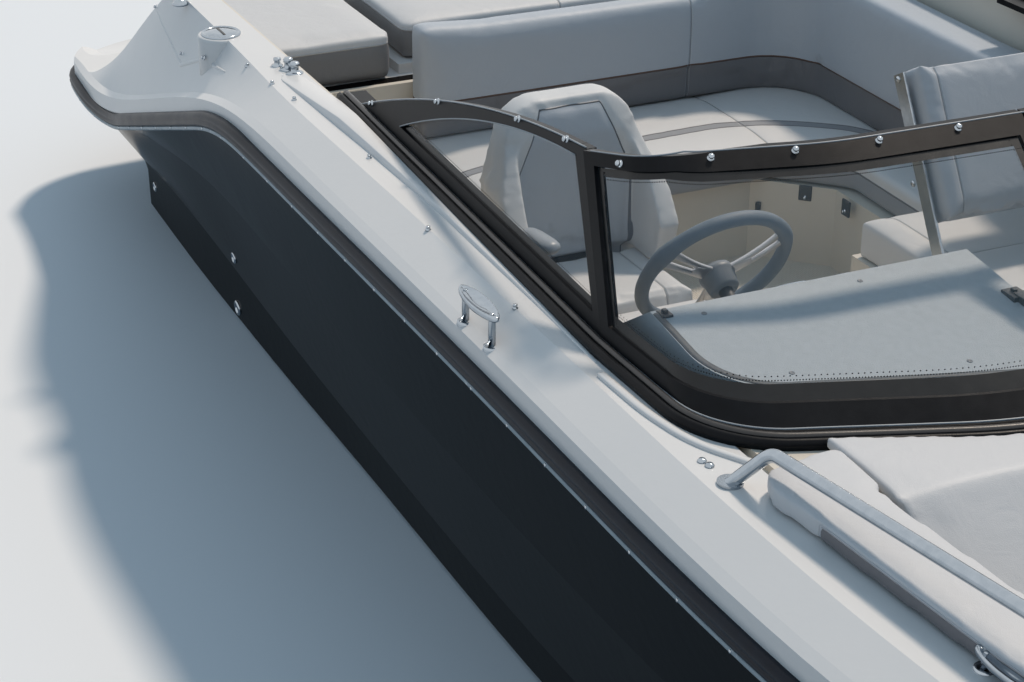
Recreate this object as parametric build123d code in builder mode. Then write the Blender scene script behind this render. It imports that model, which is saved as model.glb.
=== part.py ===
from build123d import *
from math import atan2, cos, degrees, radians, sin, tan
import os

os.makedirs("parts", exist_ok=True)

# A 6.5 m sterndrive bowrider, in millimetres: +X forward, +Y port, +Z up.
# The origin is at the waterline on the centreline, where the transom meets the water.

# Hull
half_beam = 1240            # hull side under the rub rail
platform_length = 580       # swim platform behind the transom
aft_cockpit_length = 2420   # bulkhead under the sunpads to the helm
bow_length = 1950           # windshield to stem head
draft = 360                 # keel below the waterline at the transom
sheer_z = 860               # top edge of the hull moulding amidships
platform_z = 398            # the same edge round the swim platform
gunwale_z = 955             # top of the side decks
platform_corner = 360       # plan radius of the platform corners
platform_bow = 110          # the platform's aft edge bows out by this much
pad_border = 80             # white border aft of the platform pad
pad_side = 215              # and beside it
wing_foot_x = -90           # the stern wings rise from the platform here
crown = 6                   # cut off again so that the side decks are flat
flange = 45                 # upright white flange over the rub rail
wing_foot_z = platform_z + flange + 4
rail_proud = 16             # rub rail beyond the hull side
rail_up = 14
rail_down = 40

# Places along the boat
bulkhead_x = 780
hatch_front_x = 700
dash_x = bulkhead_x + aft_cockpit_length + 90
console_front_x = dash_x + 660
bow_x = console_front_x + bow_length

# Cockpit
sole_z = 80
liner = 20                  # moulding thickness of liner and deck shells
room_low = 910              # half width of the room at the sole
room_high = 1010            # half width from the knee up
knee_z = 600
room_open_z = gunwale_z + 300   # the rooms are cut open up to here
bow_seat_z = 420
bow_sole_z = 120
walk_half = 270             # walkthrough between the consoles
gap = 5                     # clearance round anything that moves
seat_gap = 0.3              # soft pieces stand this far off what carries them

# Stations of the outer form. Columns: x, keel z, chine y and z, lower knuckle y and z,
# upper knuckle y and z, sheer y, share of the sheer's rise, side deck z.
stations = [
    (-platform_length - 20, -draft, 1000, 10, 1004, 140, 1110, 300, 1150, 0.0, 432),
    (-platform_length / 2, -draft, 1009, 10, 1013, 145, 1126, 315, 1172, 0.0, 434),
    (0, -draft, 1018, 10, 1022, 150, 1140, 330, half_beam - 50, 0.0, 560),
    (300, -draft, 1030, 11, 1038, 178, 1130, 380, half_beam - 36, 0.13, 760),
    (600, -draft, 1040, 12, 1050, 190, 1130, 430, half_beam - 24, 0.34, 930),
    (1000, -draft + 2, 1048, 15, 1058, 180, 1128, 470, half_beam - 12, 0.65, gunwale_z + crown),
    (1500, -draft + 4, 1054, 18, 1066, 160, 1140, 480, half_beam - 2, 0.95, gunwale_z + crown),
    (2000, -draft + 6, 1056, 22, 1072, 150, 1150, 480, half_beam, 1.0, gunwale_z + crown),
    (dash_x, -draft + 10, 1056, 34, 1080, 160, 1165, 490, half_beam + 2, 1.0, gunwale_z + crown),
    (bow_x - 1700, -draft + 16, 990, 96, 1030, 220, 1140, 520, half_beam - 4, 1.0, gunwale_z + crown),
    (bow_x - 1000, -draft + 70, 830, 200, 880, 310, 1010, 560, half_beam - 110, 1.02, gunwale_z + crown),
    (bow_x - 520, -draft + 230, 590, 320, 640, 420, 770, 630, half_beam - 350, 1.04, gunwale_z + crown),
    (bow_x - 180, -draft + 500, 300, 450, 335, 530, 440, 700, half_beam - 700, 1.05, gunwale_z + crown),
    (bow_x, 380, 30, 560, 40, 640, 60, 780, 110, 1.06, gunwale_z + crown),
]


def boat_form(grow):
    # closed outer form of hull and deck together, grown outwards at the sheer
    with BuildPart() as form:
        for x, keel, cy, cz, ky, kz, uy, uz, sy, rise, top in stations:
            sheer = platform_z + rise * (sheer_z - platform_z)
            end = grow if x == stations[-1][0] else -grow if x == stations[0][0] else 0
            with BuildSketch(Plane.YZ.offset(x + end)):
                with BuildLine():
                    inner = min(110, 0.45 * sy)
                    side = Polyline((0, keel), (cy * 0.93, cz - 12), (cy, cz), (ky, kz), (uy + grow, uz),
                                    (sy + grow, sheer), (sy + grow, sheer + flange),
                                    (sy + grow - 20, sheer + flange + 12), (sy - inner, top))
                    Line(side @ 1, (0, top))
                    Line((0, top), side @ 0)
                make_face()
                mirror(about=Plane.YZ)
        loft()
    return form.part


def side_slab(points, low=-2000, high=2000, radii=None):
    # side outline, x and z, carried across the boat from y = low to y = high
    with BuildPart() as slab:
        with BuildSketch(Plane.XZ.offset(-high)):
            with BuildLine():
                if radii:
                    FilletPolyline(*points, radius=radii, close=True)
                else:
                    Polyline(*points, close=True)
            make_face()
        extrude(amount=high - low)
    return slab.part


def plan_slab(points, low, high):
    # plan outline, x and y, carried up from z = low to z = high
    with BuildPart() as slab:
        with BuildSketch(Plane.XY.offset(low)):
            with BuildLine():
                Polyline(*points, close=True)
            make_face()
        extrude(amount=high - low)
    return slab.part


def cross_slab(points, aft, front):
    # half section, y and z, mirrored and carried forward from x = aft to x = front
    with BuildPart() as slab:
        with BuildSketch(Plane.YZ.offset(aft)):
            with BuildLine():
                Polyline(*points, *[(-y, z) for y, z in reversed(points)], close=True)
            make_face()
        extrude(amount=front - aft)
    return slab.part


def block(x0, x1, y0, y1, z0, z1, mode=Mode.ADD):
    with Locations(((x0 + x1) / 2, (y0 + y1) / 2, (z0 + z1) / 2)):
        Box(x1 - x0, y1 - y0, z1 - z0, mode=mode)


def under_sheer(shift):
    # everything below the sheer line, which sweeps down to the platform at the stern
    with BuildPart() as below:
        with BuildSketch(Plane.XZ.offset(-2000)):
            with BuildLine():
                line = FilletPolyline(
                    (-platform_length - 400, platform_z + shift), (150, platform_z + shift),
                    (1450, sheer_z + shift), (bow_x - 1500, sheer_z + shift),
                    (bow_x + 400, sheer_z + 36 + shift), radius=[1100, 1100, 2500])
                Polyline(line @ 1, (bow_x + 400, -900), (-platform_length - 400, -900), line @ 0)
            make_face()
        extrude(amount=4000)
    return below.part


def plan_trim(grow):
    # plan outline that rounds the platform corners and bows its aft edge
    with BuildPart() as trim:
        with BuildSketch(Plane.XY.offset(-1000)):
            with BuildLine():
                edge = half_beam - 55 + grow
                aft = -platform_length - grow
                FilletPolyline((300, edge + 200), (0, edge + 20), (aft + platform_bow, edge - 20), (aft, 0),
                               (aft + platform_bow, -edge + 20), (0, -edge - 20), (300, -edge - 200),
                               (bow_x + 500, -edge - 200), (bow_x + 500, edge + 200),
                               radius=[0.1, 5, platform_corner + grow, 3000, platform_corner + grow, 5,
                                       0.1, 0.1, 0.1], close=True)
            make_face()
        extrude(amount=3000)
    return trim.part


# Hollows. Each room is cut from the mouldings, and its liner fills the cut with a shell.
room_profile = [(room_low, sole_z), (room_high, knee_z), (room_high, room_open_z)]
cut_profile = [(room_low + liner, sole_z - liner), (room_high + liner, knee_z),
               (room_high + liner, room_open_z)]
cockpit_room = cross_slab(room_profile, bulkhead_x, console_front_x)
cockpit_cut = cross_slab(cut_profile, bulkhead_x - liner, console_front_x)

# Bow room in plan: starboard corners from aft to front, x, y and radius
bow_corners = [(console_front_x - 400, 1000, 10), (bow_x - 1400, 925, 1800), (bow_x - 900, 830, 1000),
               (bow_x - 430, 480, 400)]


def bow_outline(grow, low, high):
    # the bow room's plan outline, grown, carried up from z = low to z = high
    with BuildPart() as shape:
        with BuildSketch(Plane.XY.offset(low)):
            with BuildLine():
                spots = [(x, y) for x, y, radius in bow_corners]
                radii = [radius for x, y, radius in bow_corners]
                FilletPolyline(*spots, *[(x, -y) for x, y in reversed(spots)],
                               radius=radii + radii[::-1], close=True)
            make_face()
            if grow:
                offset(amount=grow)
        extrude(amount=high - low)
        block(console_front_x - 1000, console_front_x, -1300, 1300, low, high, mode=Mode.SUBTRACT)
    return shape.part


bow_room = bow_outline(0, bow_seat_z, gunwale_z + 400)
bow_cut = bow_outline(liner, bow_seat_z - liner, gunwale_z + 400)
footwell_front = bow_x - 950
footwell_half = 270

engine_bay = (60, hatch_front_x - 40, -400, 600, -110, 600)
stern_top = 600             # deck over the engine bay, under the sunpads
stern_half = 1000           # inside of the raised wings beside the sunpads
locker = (1775, 2675, 185, -130)    # floor locker: aft, front, half width, bottom
ledge = 25                  # the locker lid rests on this ledge
lid_thick = 25


# Hull
outer_form = boat_form(0)
below_sheer = under_sheer(0)
stern_rake = side_slab([(0, -700), (0, 130), (-250, 262), (-platform_length - 60, 330),
                        (-platform_length - 60, -700)])
with BuildPart() as trimmed_form:
    add(outer_form)
    add(plan_trim(0), mode=Mode.INTERSECT)
with BuildPart() as bow_well:
    block(console_front_x, footwell_front + liner, -footwell_half - liner, footwell_half + liner,
          bow_sole_z - liner, bow_seat_z)
ledge_z = sole_z - lid_thick - seat_gap


def locker_box(grow, low, high):
    block(locker[0] - grow, locker[1] + grow, -locker[2] - grow, locker[2] + grow, low, high)


with BuildPart() as locker_well:
    locker_box(liner, locker[3] - liner, sole_z)
    locker_box(ledge + liner, ledge_z - liner, sole_z)
with BuildPart() as locker_hollow:
    locker_box(0, locker[3], sole_z)
    locker_box(ledge, ledge_z, sole_z)
with BuildPart() as bay_well:
    x0, x1, y0, y1, z0, z1 = engine_bay
    block(x0, x1, y0, y1, z0, z1 + 400)
stern_well = side_slab([(-platform_length - 100, platform_z + flange), (-20, platform_z + flange),
                        (20, stern_top), (bulkhead_x - liner, stern_top), (bulkhead_x - liner, 1600),
                        (-platform_length - 100, 1600)], -stern_half, stern_half)
with BuildPart() as hull:
    add(trimmed_form.part)
    add(below_sheer, mode=Mode.INTERSECT)
    for hollow in (stern_rake, stern_well, cockpit_cut, bow_cut, bow_well.part, locker_well.part,
                   bay_well.part):
        add(hollow, mode=Mode.SUBTRACT)

# Everything above the wings' top edge, which runs from the platform up to the gunwale
over_wings = side_slab([(-platform_length - 200, wing_foot_z), (wing_foot_x, wing_foot_z), (640, 918),
                        (980, 956), (980, 1500), (-platform_length - 200, 1500)],
                       radii=[0.1, 120, 260, 300, 0.1, 0.1])

# Deck: side decks, stern deck, swim platform and foredeck
with BuildPart() as deck:
    add(trimmed_form.part)
    for hollow in (below_sheer, stern_well, cockpit_cut, bow_cut, bay_well.part):
        add(hollow, mode=Mode.SUBTRACT)
    block(-1000, bow_x + 100, -2000, 2000, gunwale_z, gunwale_z + 400, mode=Mode.SUBTRACT)
    add(over_wings, mode=Mode.SUBTRACT)

# Rub rail round the joint of hull and deck
with BuildPart() as rub_rail:
    add(boat_form(rail_proud))
    add(plan_trim(rail_proud), mode=Mode.INTERSECT)
    add(under_sheer(rail_up), mode=Mode.INTERSECT)
    for inside in (under_sheer(-rail_down), trimmed_form.part, stern_rake):
        add(inside, mode=Mode.SUBTRACT)

# Soft deck pad on the swim platform
with BuildPart() as platform_pad:
    with BuildSketch(Plane.XY.offset(platform_z + flange)):
        with BuildLine():
            aft = -platform_length + pad_border
            side = half_beam - 55 - pad_side
            FilletPolyline((-60, side), (aft + platform_bow, side), (aft, 0), (aft + platform_bow, -side),
                           (-60, -side), radius=[20, platform_corner - pad_border, 3000,
                                                 platform_corner - pad_border, 20], close=True)
        make_face()
    extrude(amount=8)

# Cockpit liner: sole, sides, aft bulkhead and the floor locker's well
with BuildPart() as cockpit_liner:
    add(cockpit_cut)
    add(locker_well.part)
    add(cockpit_room, mode=Mode.SUBTRACT)
    add(locker_hollow.part, mode=Mode.SUBTRACT)
    block(bulkhead_x - 100, bulkhead_x, -1300, 1300, stern_top, 1600, mode=Mode.SUBTRACT)
    block(0, 6000, -1300, 1300, gunwale_z - 15, 1600, mode=Mode.SUBTRACT)

# Bow liner: seat tops, footwell and sides
with BuildPart() as bow_liner:
    add(bow_cut)
    add(bow_well.part)
    add(bow_room, mode=Mode.SUBTRACT)
    block(console_front_x, footwell_front, -footwell_half, footwell_half, bow_sole_z, bow_seat_z,
          mode=Mode.SUBTRACT)
    block(0, 6000, -1300, 1300, gunwale_z - 15, 1600, mode=Mode.SUBTRACT)

# Engine: one plain block
with BuildPart() as engine:
    block(90, 620, -290, 290, engine_bay[4] + seat_gap, 420)
    chamfer(engine.edges().filter_by(Axis.X), 40)

# Hatch over the engine, hinged at its aft edge, with the main sunpad on it
hatch_thick = 30
hatch = (30, hatch_front_x, -430, 680)
pad_thick = 120
side_pad_thick = 140
with BuildPart() as engine_hatch:
    block(hatch[0], hatch[1], hatch[2], hatch[3], stern_top + seat_gap, stern_top + seat_gap + hatch_thick)
with BuildPart() as sunpad_main:
    z = stern_top + 2 * seat_gap + hatch_thick
    block(hatch[0] + 10, hatch[1] - 10, hatch[2] + 10, hatch[3] - 10, z, z + pad_thick)
    fillet(sunpad_main.edges().filter_by(Axis.Z), 40)
with BuildPart() as sunpads_side:
    z = stern_top + seat_gap
    block(60, bulkhead_x - 30, -stern_half + 10, hatch[2] - 20, z, z + side_pad_thick)
    block(60, bulkhead_x - 30, hatch[3] + 20, stern_half - 10, z, z + side_pad_thick)
    fillet(sunpads_side.edges().filter_by(Axis.Z), 40)

# Lounge round the aft and port sides
seat_z = 330
cushion = 110
bench_depth = 560
bench_split_y = 500
side_bench_y = 690
lounge_front_x = 1980
bench_starboard_y = -440
toe = 60                    # the base stands back under the cushions
corner = [(bulkhead_x + bench_depth, bench_split_y), (bulkhead_x + bench_depth + 160, side_bench_y),
          (lounge_front_x, side_bench_y), (lounge_front_x, 1200), (bulkhead_x, 1200),
          (bulkhead_x, bench_split_y + 4)]
with BuildPart() as lounge_base:
    add(plan_slab([(bulkhead_x, bench_starboard_y), (bulkhead_x + bench_depth - toe, bench_starboard_y),
                   (bulkhead_x + bench_depth - toe, bench_split_y - 30),
                   (bulkhead_x + bench_depth + 120, side_bench_y - 30), (lounge_front_x, side_bench_y - 30),
                   (lounge_front_x, 1200), (bulkhead_x, 1200)], sole_z, seat_z))
    add(cockpit_room, mode=Mode.INTERSECT)
with BuildPart() as soft_room:
    add(cross_slab([(room_low - 5, sole_z), (room_high - 5, knee_z), (room_high - 5, 1400)],
                   bulkhead_x + seat_gap, console_front_x))
back_thick = 100
back_top = 790
side_back_y = 850
with BuildPart() as lounge_cushions:
    z = seat_z + seat_gap
    block(bulkhead_x, bulkhead_x + bench_depth, bench_starboard_y, bench_split_y, z, z + cushion)
    add(plan_slab([(bulkhead_x + bench_depth, bench_split_y + 4), *corner[1:]], z, z + cushion))
    add(soft_room.part, mode=Mode.INTERSECT)
with BuildPart() as lounge_backrests:
    z = seat_z + cushion + 2 * seat_gap
    block(bulkhead_x, bulkhead_x + back_thick, bench_starboard_y, bench_split_y + 20, z, back_top)
    with BuildSketch(Plane.XY.offset(z)):
        with BuildLine():
            inner = FilletPolyline((bulkhead_x + back_thick, bench_split_y + 24),
                                   (bulkhead_x + back_thick, side_back_y), (lounge_front_x, side_back_y),
                                   radius=180)
            Polyline(inner @ 1, (lounge_front_x, 1200), (bulkhead_x, 1200), (bulkhead_x, bench_split_y + 24),
                     inner @ 0)
        make_face()
    extrude(amount=back_top + 60 - z)
    add(soft_room.part, mode=Mode.INTERSECT)

# Floor locker lid, hinged at its forward edge
with BuildPart() as floor_locker_lid:
    locker_box(ledge - gap, sole_z - lid_thick, sole_z)

# Windshield. Glass lines on the starboard side, x and y, at the foot and at the top
shield_foot_z = gunwale_z
shield_top_z = 1320
divider_top_z = 1268
side_tip_x = dash_x - 1490
glass_thick = 6
frame_thick = 24
foot_width = 74
foot_height = 16
frame_foot = 48
frame_rail = 26
divider_half = 18
door_half = 275
door_top_half = 160         # the door narrows towards its top
door_trim = 8               # the front panes start inside the door's opening and are cut back to it
foot_line = [(dash_x - 50, -1058), (dash_x + 365, -1052), (dash_x + 545, -560),
             (dash_x + 592, -door_half + door_trim)]
top_line = [(dash_x - 330, -975), (dash_x - 110, -940), (dash_x - 30, -600),
            (dash_x - 18, -door_top_half + door_trim)]
foot_radii, top_radii = (200, 900), (150, 700)
side_lean = (foot_line[0][1] - top_line[0][1]) / (shield_top_z - shield_foot_z)


def shifted(points, amount):
    # the same open line, moved sideways by amount
    spots = [Vector(*p) for p in points]
    ways = [(b - a).normalized() for a, b in zip(spots, spots[1:])]
    sides = [Vector(-w.Y, w.X) for w in ways]
    moved = [spots[0] + sides[0] * amount]
    for spot, left, right in zip(spots[1:], sides, sides[1:]):
        moved.append(spot + (left + right) * (amount / (1 + left.dot(right))))
    moved.append(spots[-1] + sides[-1] * amount)
    return [(m.X, m.Y) for m in moved]


def band(points, thick, radii):
    # closed outline of a strip along the line, with its corners rounded
    outer, inner = shifted(points, -thick / 2), shifted(points, thick / 2)
    if len(points) == 2:
        Polyline(*outer, *reversed(inner), close=True)
    else:
        far = FilletPolyline(*outer, radius=[radius + thick / 2 for radius in radii])
        near = FilletPolyline(*inner, radius=[radius - thick / 2 for radius in radii])
        Line(far @ 0, near @ 0)
        Line(far @ 1, near @ 1)


def pane(foot, top, thick, radii=((), ())):
    # leaning wall between its foot line and its top line
    with BuildPart() as wall:
        for z, line, rounds in ((shield_foot_z, foot, radii[0]), (shield_top_z, top, radii[1])):
            with BuildSketch(Plane.XY.offset(z)):
                with BuildLine():
                    band(line, thick, rounds)
                make_face()
        loft(ruled=True)
    return wall.part


def side_region(inset_foot, inset_top, inset_front):
    # side view of the side pane: a long arc from its aft tip up to the divider
    tip = (side_tip_x + 6 * inset_foot, shield_foot_z + inset_foot)
    top = (top_line[0][0] + 30 - inset_front, divider_top_z - inset_top)
    front = (foot_line[0][0] - inset_front - 0.75 * inset_foot, shield_foot_z + inset_foot)
    middle = ((tip[0] + top[0]) / 2 - 20, (tip[1] + top[1]) / 2 + 42 - inset_top / 4)
    with BuildPart() as region:
        with BuildSketch(Plane.XZ.offset(-2000)):
            with BuildLine():
                ThreePointArc(tip, middle, top)
                Polyline(top, front, tip)
            make_face()
        extrude(amount=4000)
    return region.part


def doorway(edge):
    # the door's opening with its leaning sides moved outwards by edge
    lean = (door_top_half - door_half) / (shield_top_z - shield_foot_z)
    ends = (shield_foot_z - 60, shield_top_z + 60)
    return cross_slab([(door_half + edge + lean * (z - shield_foot_z), z) for z in ends], dash_x - 100,
                      console_front_x)


side_foot = [(side_tip_x - 60, -990), (foot_line[0][0] + 10, foot_line[0][1])]
side_top = [(x, y - side_lean * (shield_top_z - shield_foot_z)) for x, y in side_foot]
radii = (foot_radii, top_radii)
window_top = shield_top_z - frame_rail
above_rail = side_slab([(top_line[0][0] - 10, divider_top_z - 5), (top_line[0][0] + 30, divider_top_z),
                        (top_line[0][0] + 260, shield_top_z), (top_line[0][0] + 260, 1700),
                        (top_line[0][0] - 300, 1700), (top_line[0][0] - 300, shield_top_z + 10)])
window_above = side_slab([(top_line[0][0] - 200, divider_top_z - 40 - frame_rail),
                          (top_line[0][0] + 30, divider_top_z - frame_rail),
                          (top_line[0][0] + 260, window_top), (top_line[0][0] + 260, 1700),
                          (top_line[0][0] - 200, 1700)])
divider_side = side_slab([(foot_line[0][0] + 2 * divider_half, shield_foot_z),
                          (top_line[0][0] + 2 * divider_half, shield_top_z),
                          (foot_line[0][0] - 900, shield_top_z), (foot_line[0][0] - 900, shield_foot_z)])
with BuildPart() as front_window:
    add(pane(foot_line, top_line, 4 * frame_thick, radii))
    block(2000, 5000, -2000, 0, shield_foot_z + frame_foot, window_top, mode=Mode.INTERSECT)
    add(doorway(frame_thick), mode=Mode.SUBTRACT)
    add(window_above, mode=Mode.SUBTRACT)
    add(divider_side, mode=Mode.SUBTRACT)
side_window = side_region(frame_foot, frame_rail, 2 * divider_half)
with BuildPart() as shield_half:
    add(pane(side_foot, side_top, frame_thick))
    add(side_region(0, 0, 0), mode=Mode.INTERSECT)
    add(side_window, mode=Mode.SUBTRACT)
    add(pane(foot_line, top_line, frame_thick, radii))
    add(above_rail, mode=Mode.SUBTRACT)
    add(front_window.part, mode=Mode.SUBTRACT)
    with BuildSketch(Plane.XY.offset(shield_foot_z)):
        with BuildLine():
            band([side_foot[0], *foot_line], foot_width, (2000, *foot_radii))
        make_face()
    extrude(amount=foot_height)
    add(doorway(0), mode=Mode.SUBTRACT)
with BuildPart() as glass_half:
    add(pane(foot_line, top_line, glass_thick, radii))
    add(front_window.part, mode=Mode.INTERSECT)
with BuildPart() as side_glass:
    add(pane(side_foot, side_top, glass_thick))
    add(side_window, mode=Mode.INTERSECT)
with BuildPart() as windshield_frames:
    for half in (shield_half.part, shield_half.part.mirror(Plane.XZ)):
        add(half)
with BuildPart() as windshield_glass:
    for half in (glass_half.part, side_glass.part):
        add(half)
        add(half.mirror(Plane.XZ))

# Centre pane of the windshield, hinged on its port edge
door_edge = door_half - gap
door_foot = [(foot_line[-1][0], -door_edge), (foot_line[-1][0], door_half - seat_gap)]
door_top = [(top_line[-1][0], gap - door_top_half), (top_line[-1][0], door_top_half - seat_gap)]
with BuildPart() as door_window:
    add(pane(door_foot, door_top, 4 * frame_thick))
    block(2000, 5000, -door_half, door_half, shield_foot_z + frame_foot, window_top, mode=Mode.INTERSECT)
    add(doorway(-gap - frame_thick), mode=Mode.INTERSECT)
with BuildPart() as windshield_door_frame:
    add(pane(door_foot, door_top, frame_thick))
    add(door_window.part, mode=Mode.SUBTRACT)
    block(2000, 5000, -2000, 2000, shield_foot_z - 10, shield_foot_z + foot_height + gap, mode=Mode.SUBTRACT)
with BuildPart() as windshield_door_glass:
    add(pane(door_foot, door_top, glass_thick))
    add(door_window.part, mode=Mode.INTERSECT)

# Consoles: a top box over an open footwell, a forward bulkhead and an inboard wall
console_top = gunwale_z
helm_foot_z = 560
console_wall = 30
bulkhead_thick = 60
profile = [(console_front_x, sole_z), (console_front_x, console_top), (dash_x + 20, console_top),
           (dash_x - 40, 860), (dash_x - 150, 640), (dash_x - 60, helm_foot_z),
           (console_front_x - 160, helm_foot_z - 60), (console_front_x - bulkhead_thick, 300),
           (console_front_x - bulkhead_thick, sole_z)]
with BuildPart() as helm_console:
    add(side_slab(profile, -1200, -walk_half - console_wall))
    block(dash_x, console_front_x, -walk_half - console_wall, -walk_half, sole_z, console_top)
    add(cockpit_room, mode=Mode.INTERSECT)
face_top, face_foot = Vector(profile[3]), Vector(profile[4])
down = (face_foot - face_top).normalized()
proud = Vector(down.Y, -down.X)             # out of the console's slanted aft face
glovebox_y = (430, 850)
glovebox_run = (30, 215)                    # along the face, from its top edge


def on_face(along, out):
    spot = face_top + down * along + proud * out
    return (spot.X, spot.Y)


with BuildPart() as port_console:
    add(side_slab(profile, walk_half + console_wall, 1200))
    block(dash_x, console_front_x, walk_half, walk_half + console_wall, sole_z, console_top)
    add(cockpit_room, mode=Mode.INTERSECT)
    add(side_slab([on_face(glovebox_run[0], 5), on_face(glovebox_run[1], 5), on_face(glovebox_run[1], -160),
                   on_face(glovebox_run[0], -160)], *glovebox_y), mode=Mode.SUBTRACT)
with BuildPart() as glovebox_door:
    add(side_slab([on_face(glovebox_run[0] - 12, seat_gap), on_face(glovebox_run[0] - 12, 15),
                   on_face(glovebox_run[1] + 12, 15), on_face(glovebox_run[1] + 12, seat_gap)],
                  glovebox_y[0] - 12, glovebox_y[1] + 12))

dash_top = 1045
dash_front_x = dash_x + 520
dash_profile = [(dash_x - 40 + gap, 862), (dash_x + 20, console_top + seat_gap),
                (dash_front_x, console_top + seat_gap), (dash_front_x, 985), (dash_x, dash_top),
                (dash_x - 190, 920), (dash_x - 190, 905)]
dash_plan = [(dash_x - 200, -265), (dash_x + 480, -265), (dash_x + 288, -1002), (dash_x - 200, -992)]
with BuildPart() as dash_outline:
    with BuildSketch(Plane.XY.offset(800)):
        with BuildLine():
            FilletPolyline(*dash_plan, radius=[0.1, 30, 170, 0.1], close=True)
        make_face()
    extrude(amount=400)
with BuildPart() as helm_dash:
    add(side_slab(dash_profile, -1100, 0))
    add(dash_outline.part, mode=Mode.INTERSECT)
    for other in (helm_console.part, windshield_frames.part):
        add(other, mode=Mode.SUBTRACT)
helm_dash.part = helm_dash.part.solids().sort_by(SortBy.VOLUME)[-1]
with BuildPart() as port_dash:
    add(side_slab(dash_profile, 0, 1100))
    add(dash_outline.part.mirror(Plane.XZ), mode=Mode.INTERSECT)
    for other in (port_console.part, windshield_frames.part):
        add(other, mode=Mode.SUBTRACT)
port_dash.part = port_dash.part.solids().sort_by(SortBy.VOLUME)[-1]

# Helm pod: the wheel's panel stands aft of the dash, square to the steering shaft
wheel_hub = (dash_x - 380, -630, 910)
wheel_radius = 182
rim_radius = 15
wheel_tilt = 28.8
panel_gap = 140
pod_half = 215
shaft = Vector(-cos(radians(wheel_tilt)), 0, sin(radians(wheel_tilt)))
panel_up = Vector(sin(radians(wheel_tilt)), 0, cos(radians(wheel_tilt)))
panel_foot = Vector(*wheel_hub) - shaft * panel_gap
upper, lower = panel_foot + panel_up * 60, panel_foot - panel_up * 200
with BuildPart() as helm_pod:
    add(side_slab([(dash_x + 5, dash_top - 22), (upper.X + 50, upper.Z + 30), (upper.X, upper.Z),
                   (lower.X, lower.Z), (lower.X + 190, lower.Z - 40), (dash_x + 5, lower.Z + 100)],
                  wheel_hub[1] - pod_half, wheel_hub[1] + pod_half))
    for other in (helm_console.part, helm_dash.part):
        add(other, mode=Mode.SUBTRACT)

# Steering wheel: rim, three spokes and hub
rim_plane = Plane(origin=wheel_hub, x_dir=(0, 1, 0), z_dir=tuple(shaft))
hub_radius = 34
spoke_drop = 20
with BuildPart(rim_plane) as steering_wheel:
    Torus(wheel_radius - rim_radius, rim_radius)
    with BuildSketch(rim_plane.offset(-spoke_drop)):
        with PolarLocations(0, 3, start_angle=90):
            with Locations((wheel_radius / 2 - 5, 0)):
                Rectangle(wheel_radius - 20, 30)
        Circle(hub_radius)
    extrude(amount=9)
    with BuildSketch(rim_plane.offset(-spoke_drop - 40)):
        Circle(hub_radius)
    extrude(amount=45)
with BuildPart() as steering_column:
    with BuildSketch(Plane(origin=tuple(panel_foot), z_dir=tuple(shaft))):
        Circle(48)
    extrude(amount=30, taper=20)
    with BuildSketch(Plane(origin=tuple(panel_foot), z_dir=tuple(shaft))):
        Circle(16)
    extrude(amount=panel_gap - spoke_drop - 40 - seat_gap)

# Throttle and shift lever on the starboard side
throttle_x = dash_x - 520
with BuildPart() as throttle:
    block(throttle_x - 70, throttle_x + 70, -room_high - 20, -room_high + 40, 790, 900)
    block(throttle_x - 14, throttle_x + 14, -room_high + 40, -room_high + 54, 860, 960)
    block(throttle_x - 30, throttle_x + 30, -room_high + 40, -room_high + 76, 945, 975)
    add(cockpit_room, mode=Mode.INTERSECT)

# Helm seat: pedestal, swivelling pan, cushion, back and a bolster that flips up
seat_x, seat_y = wheel_hub[0] - 510, -615
seat_half = 220
pan_z = 500
with BuildPart() as helm_pedestal:
    with Locations((seat_x, seat_y, sole_z)):
        Cylinder(150, 14, align=(Align.CENTER, Align.CENTER, Align.MIN))
        Cylinder(38, pan_z - sole_z - seat_gap, align=(Align.CENTER, Align.CENTER, Align.MIN))
with BuildPart() as helm_seat_pan:
    block(seat_x - 210, seat_x + 200, seat_y - 190, seat_y + 190, pan_z, pan_z + 18)
    block(seat_x - 262, seat_x - 210, seat_y - 120, seat_y + 120, pan_z, pan_z + 200)
bolster_x = seat_x + 105
cushion_z = pan_z + 18 + seat_gap
with BuildPart() as helm_seat_cushion:
    block(seat_x - 195, bolster_x - gap, seat_y - seat_half + 20, seat_y + seat_half - 20, cushion_z,
          cushion_z + 130)
with BuildPart() as helm_bolster:
    block(bolster_x, bolster_x + 150, seat_y - seat_half + 20, seat_y + seat_half - 20, cushion_z,
          cushion_z + 145)
    fillet(helm_bolster.edges().filter_by(Axis.Y), 30)
seat_top = 1066
seat_front = [(-seat_half, cushion_z), (-seat_half, cushion_z + 330), (-seat_half + 62, seat_top),
              (seat_half - 62, seat_top), (seat_half, cushion_z + 330), (seat_half, cushion_z)]
with BuildPart() as seat_outline:
    with BuildSketch(Plane.YZ.offset(seat_x - 400)):
        with BuildLine():
            FilletPolyline(*[(seat_y + y, z) for y, z in seat_front], radius=[30, 200, 110, 110, 200, 30],
                           close=True)
        make_face()
    extrude(amount=500)
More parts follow.
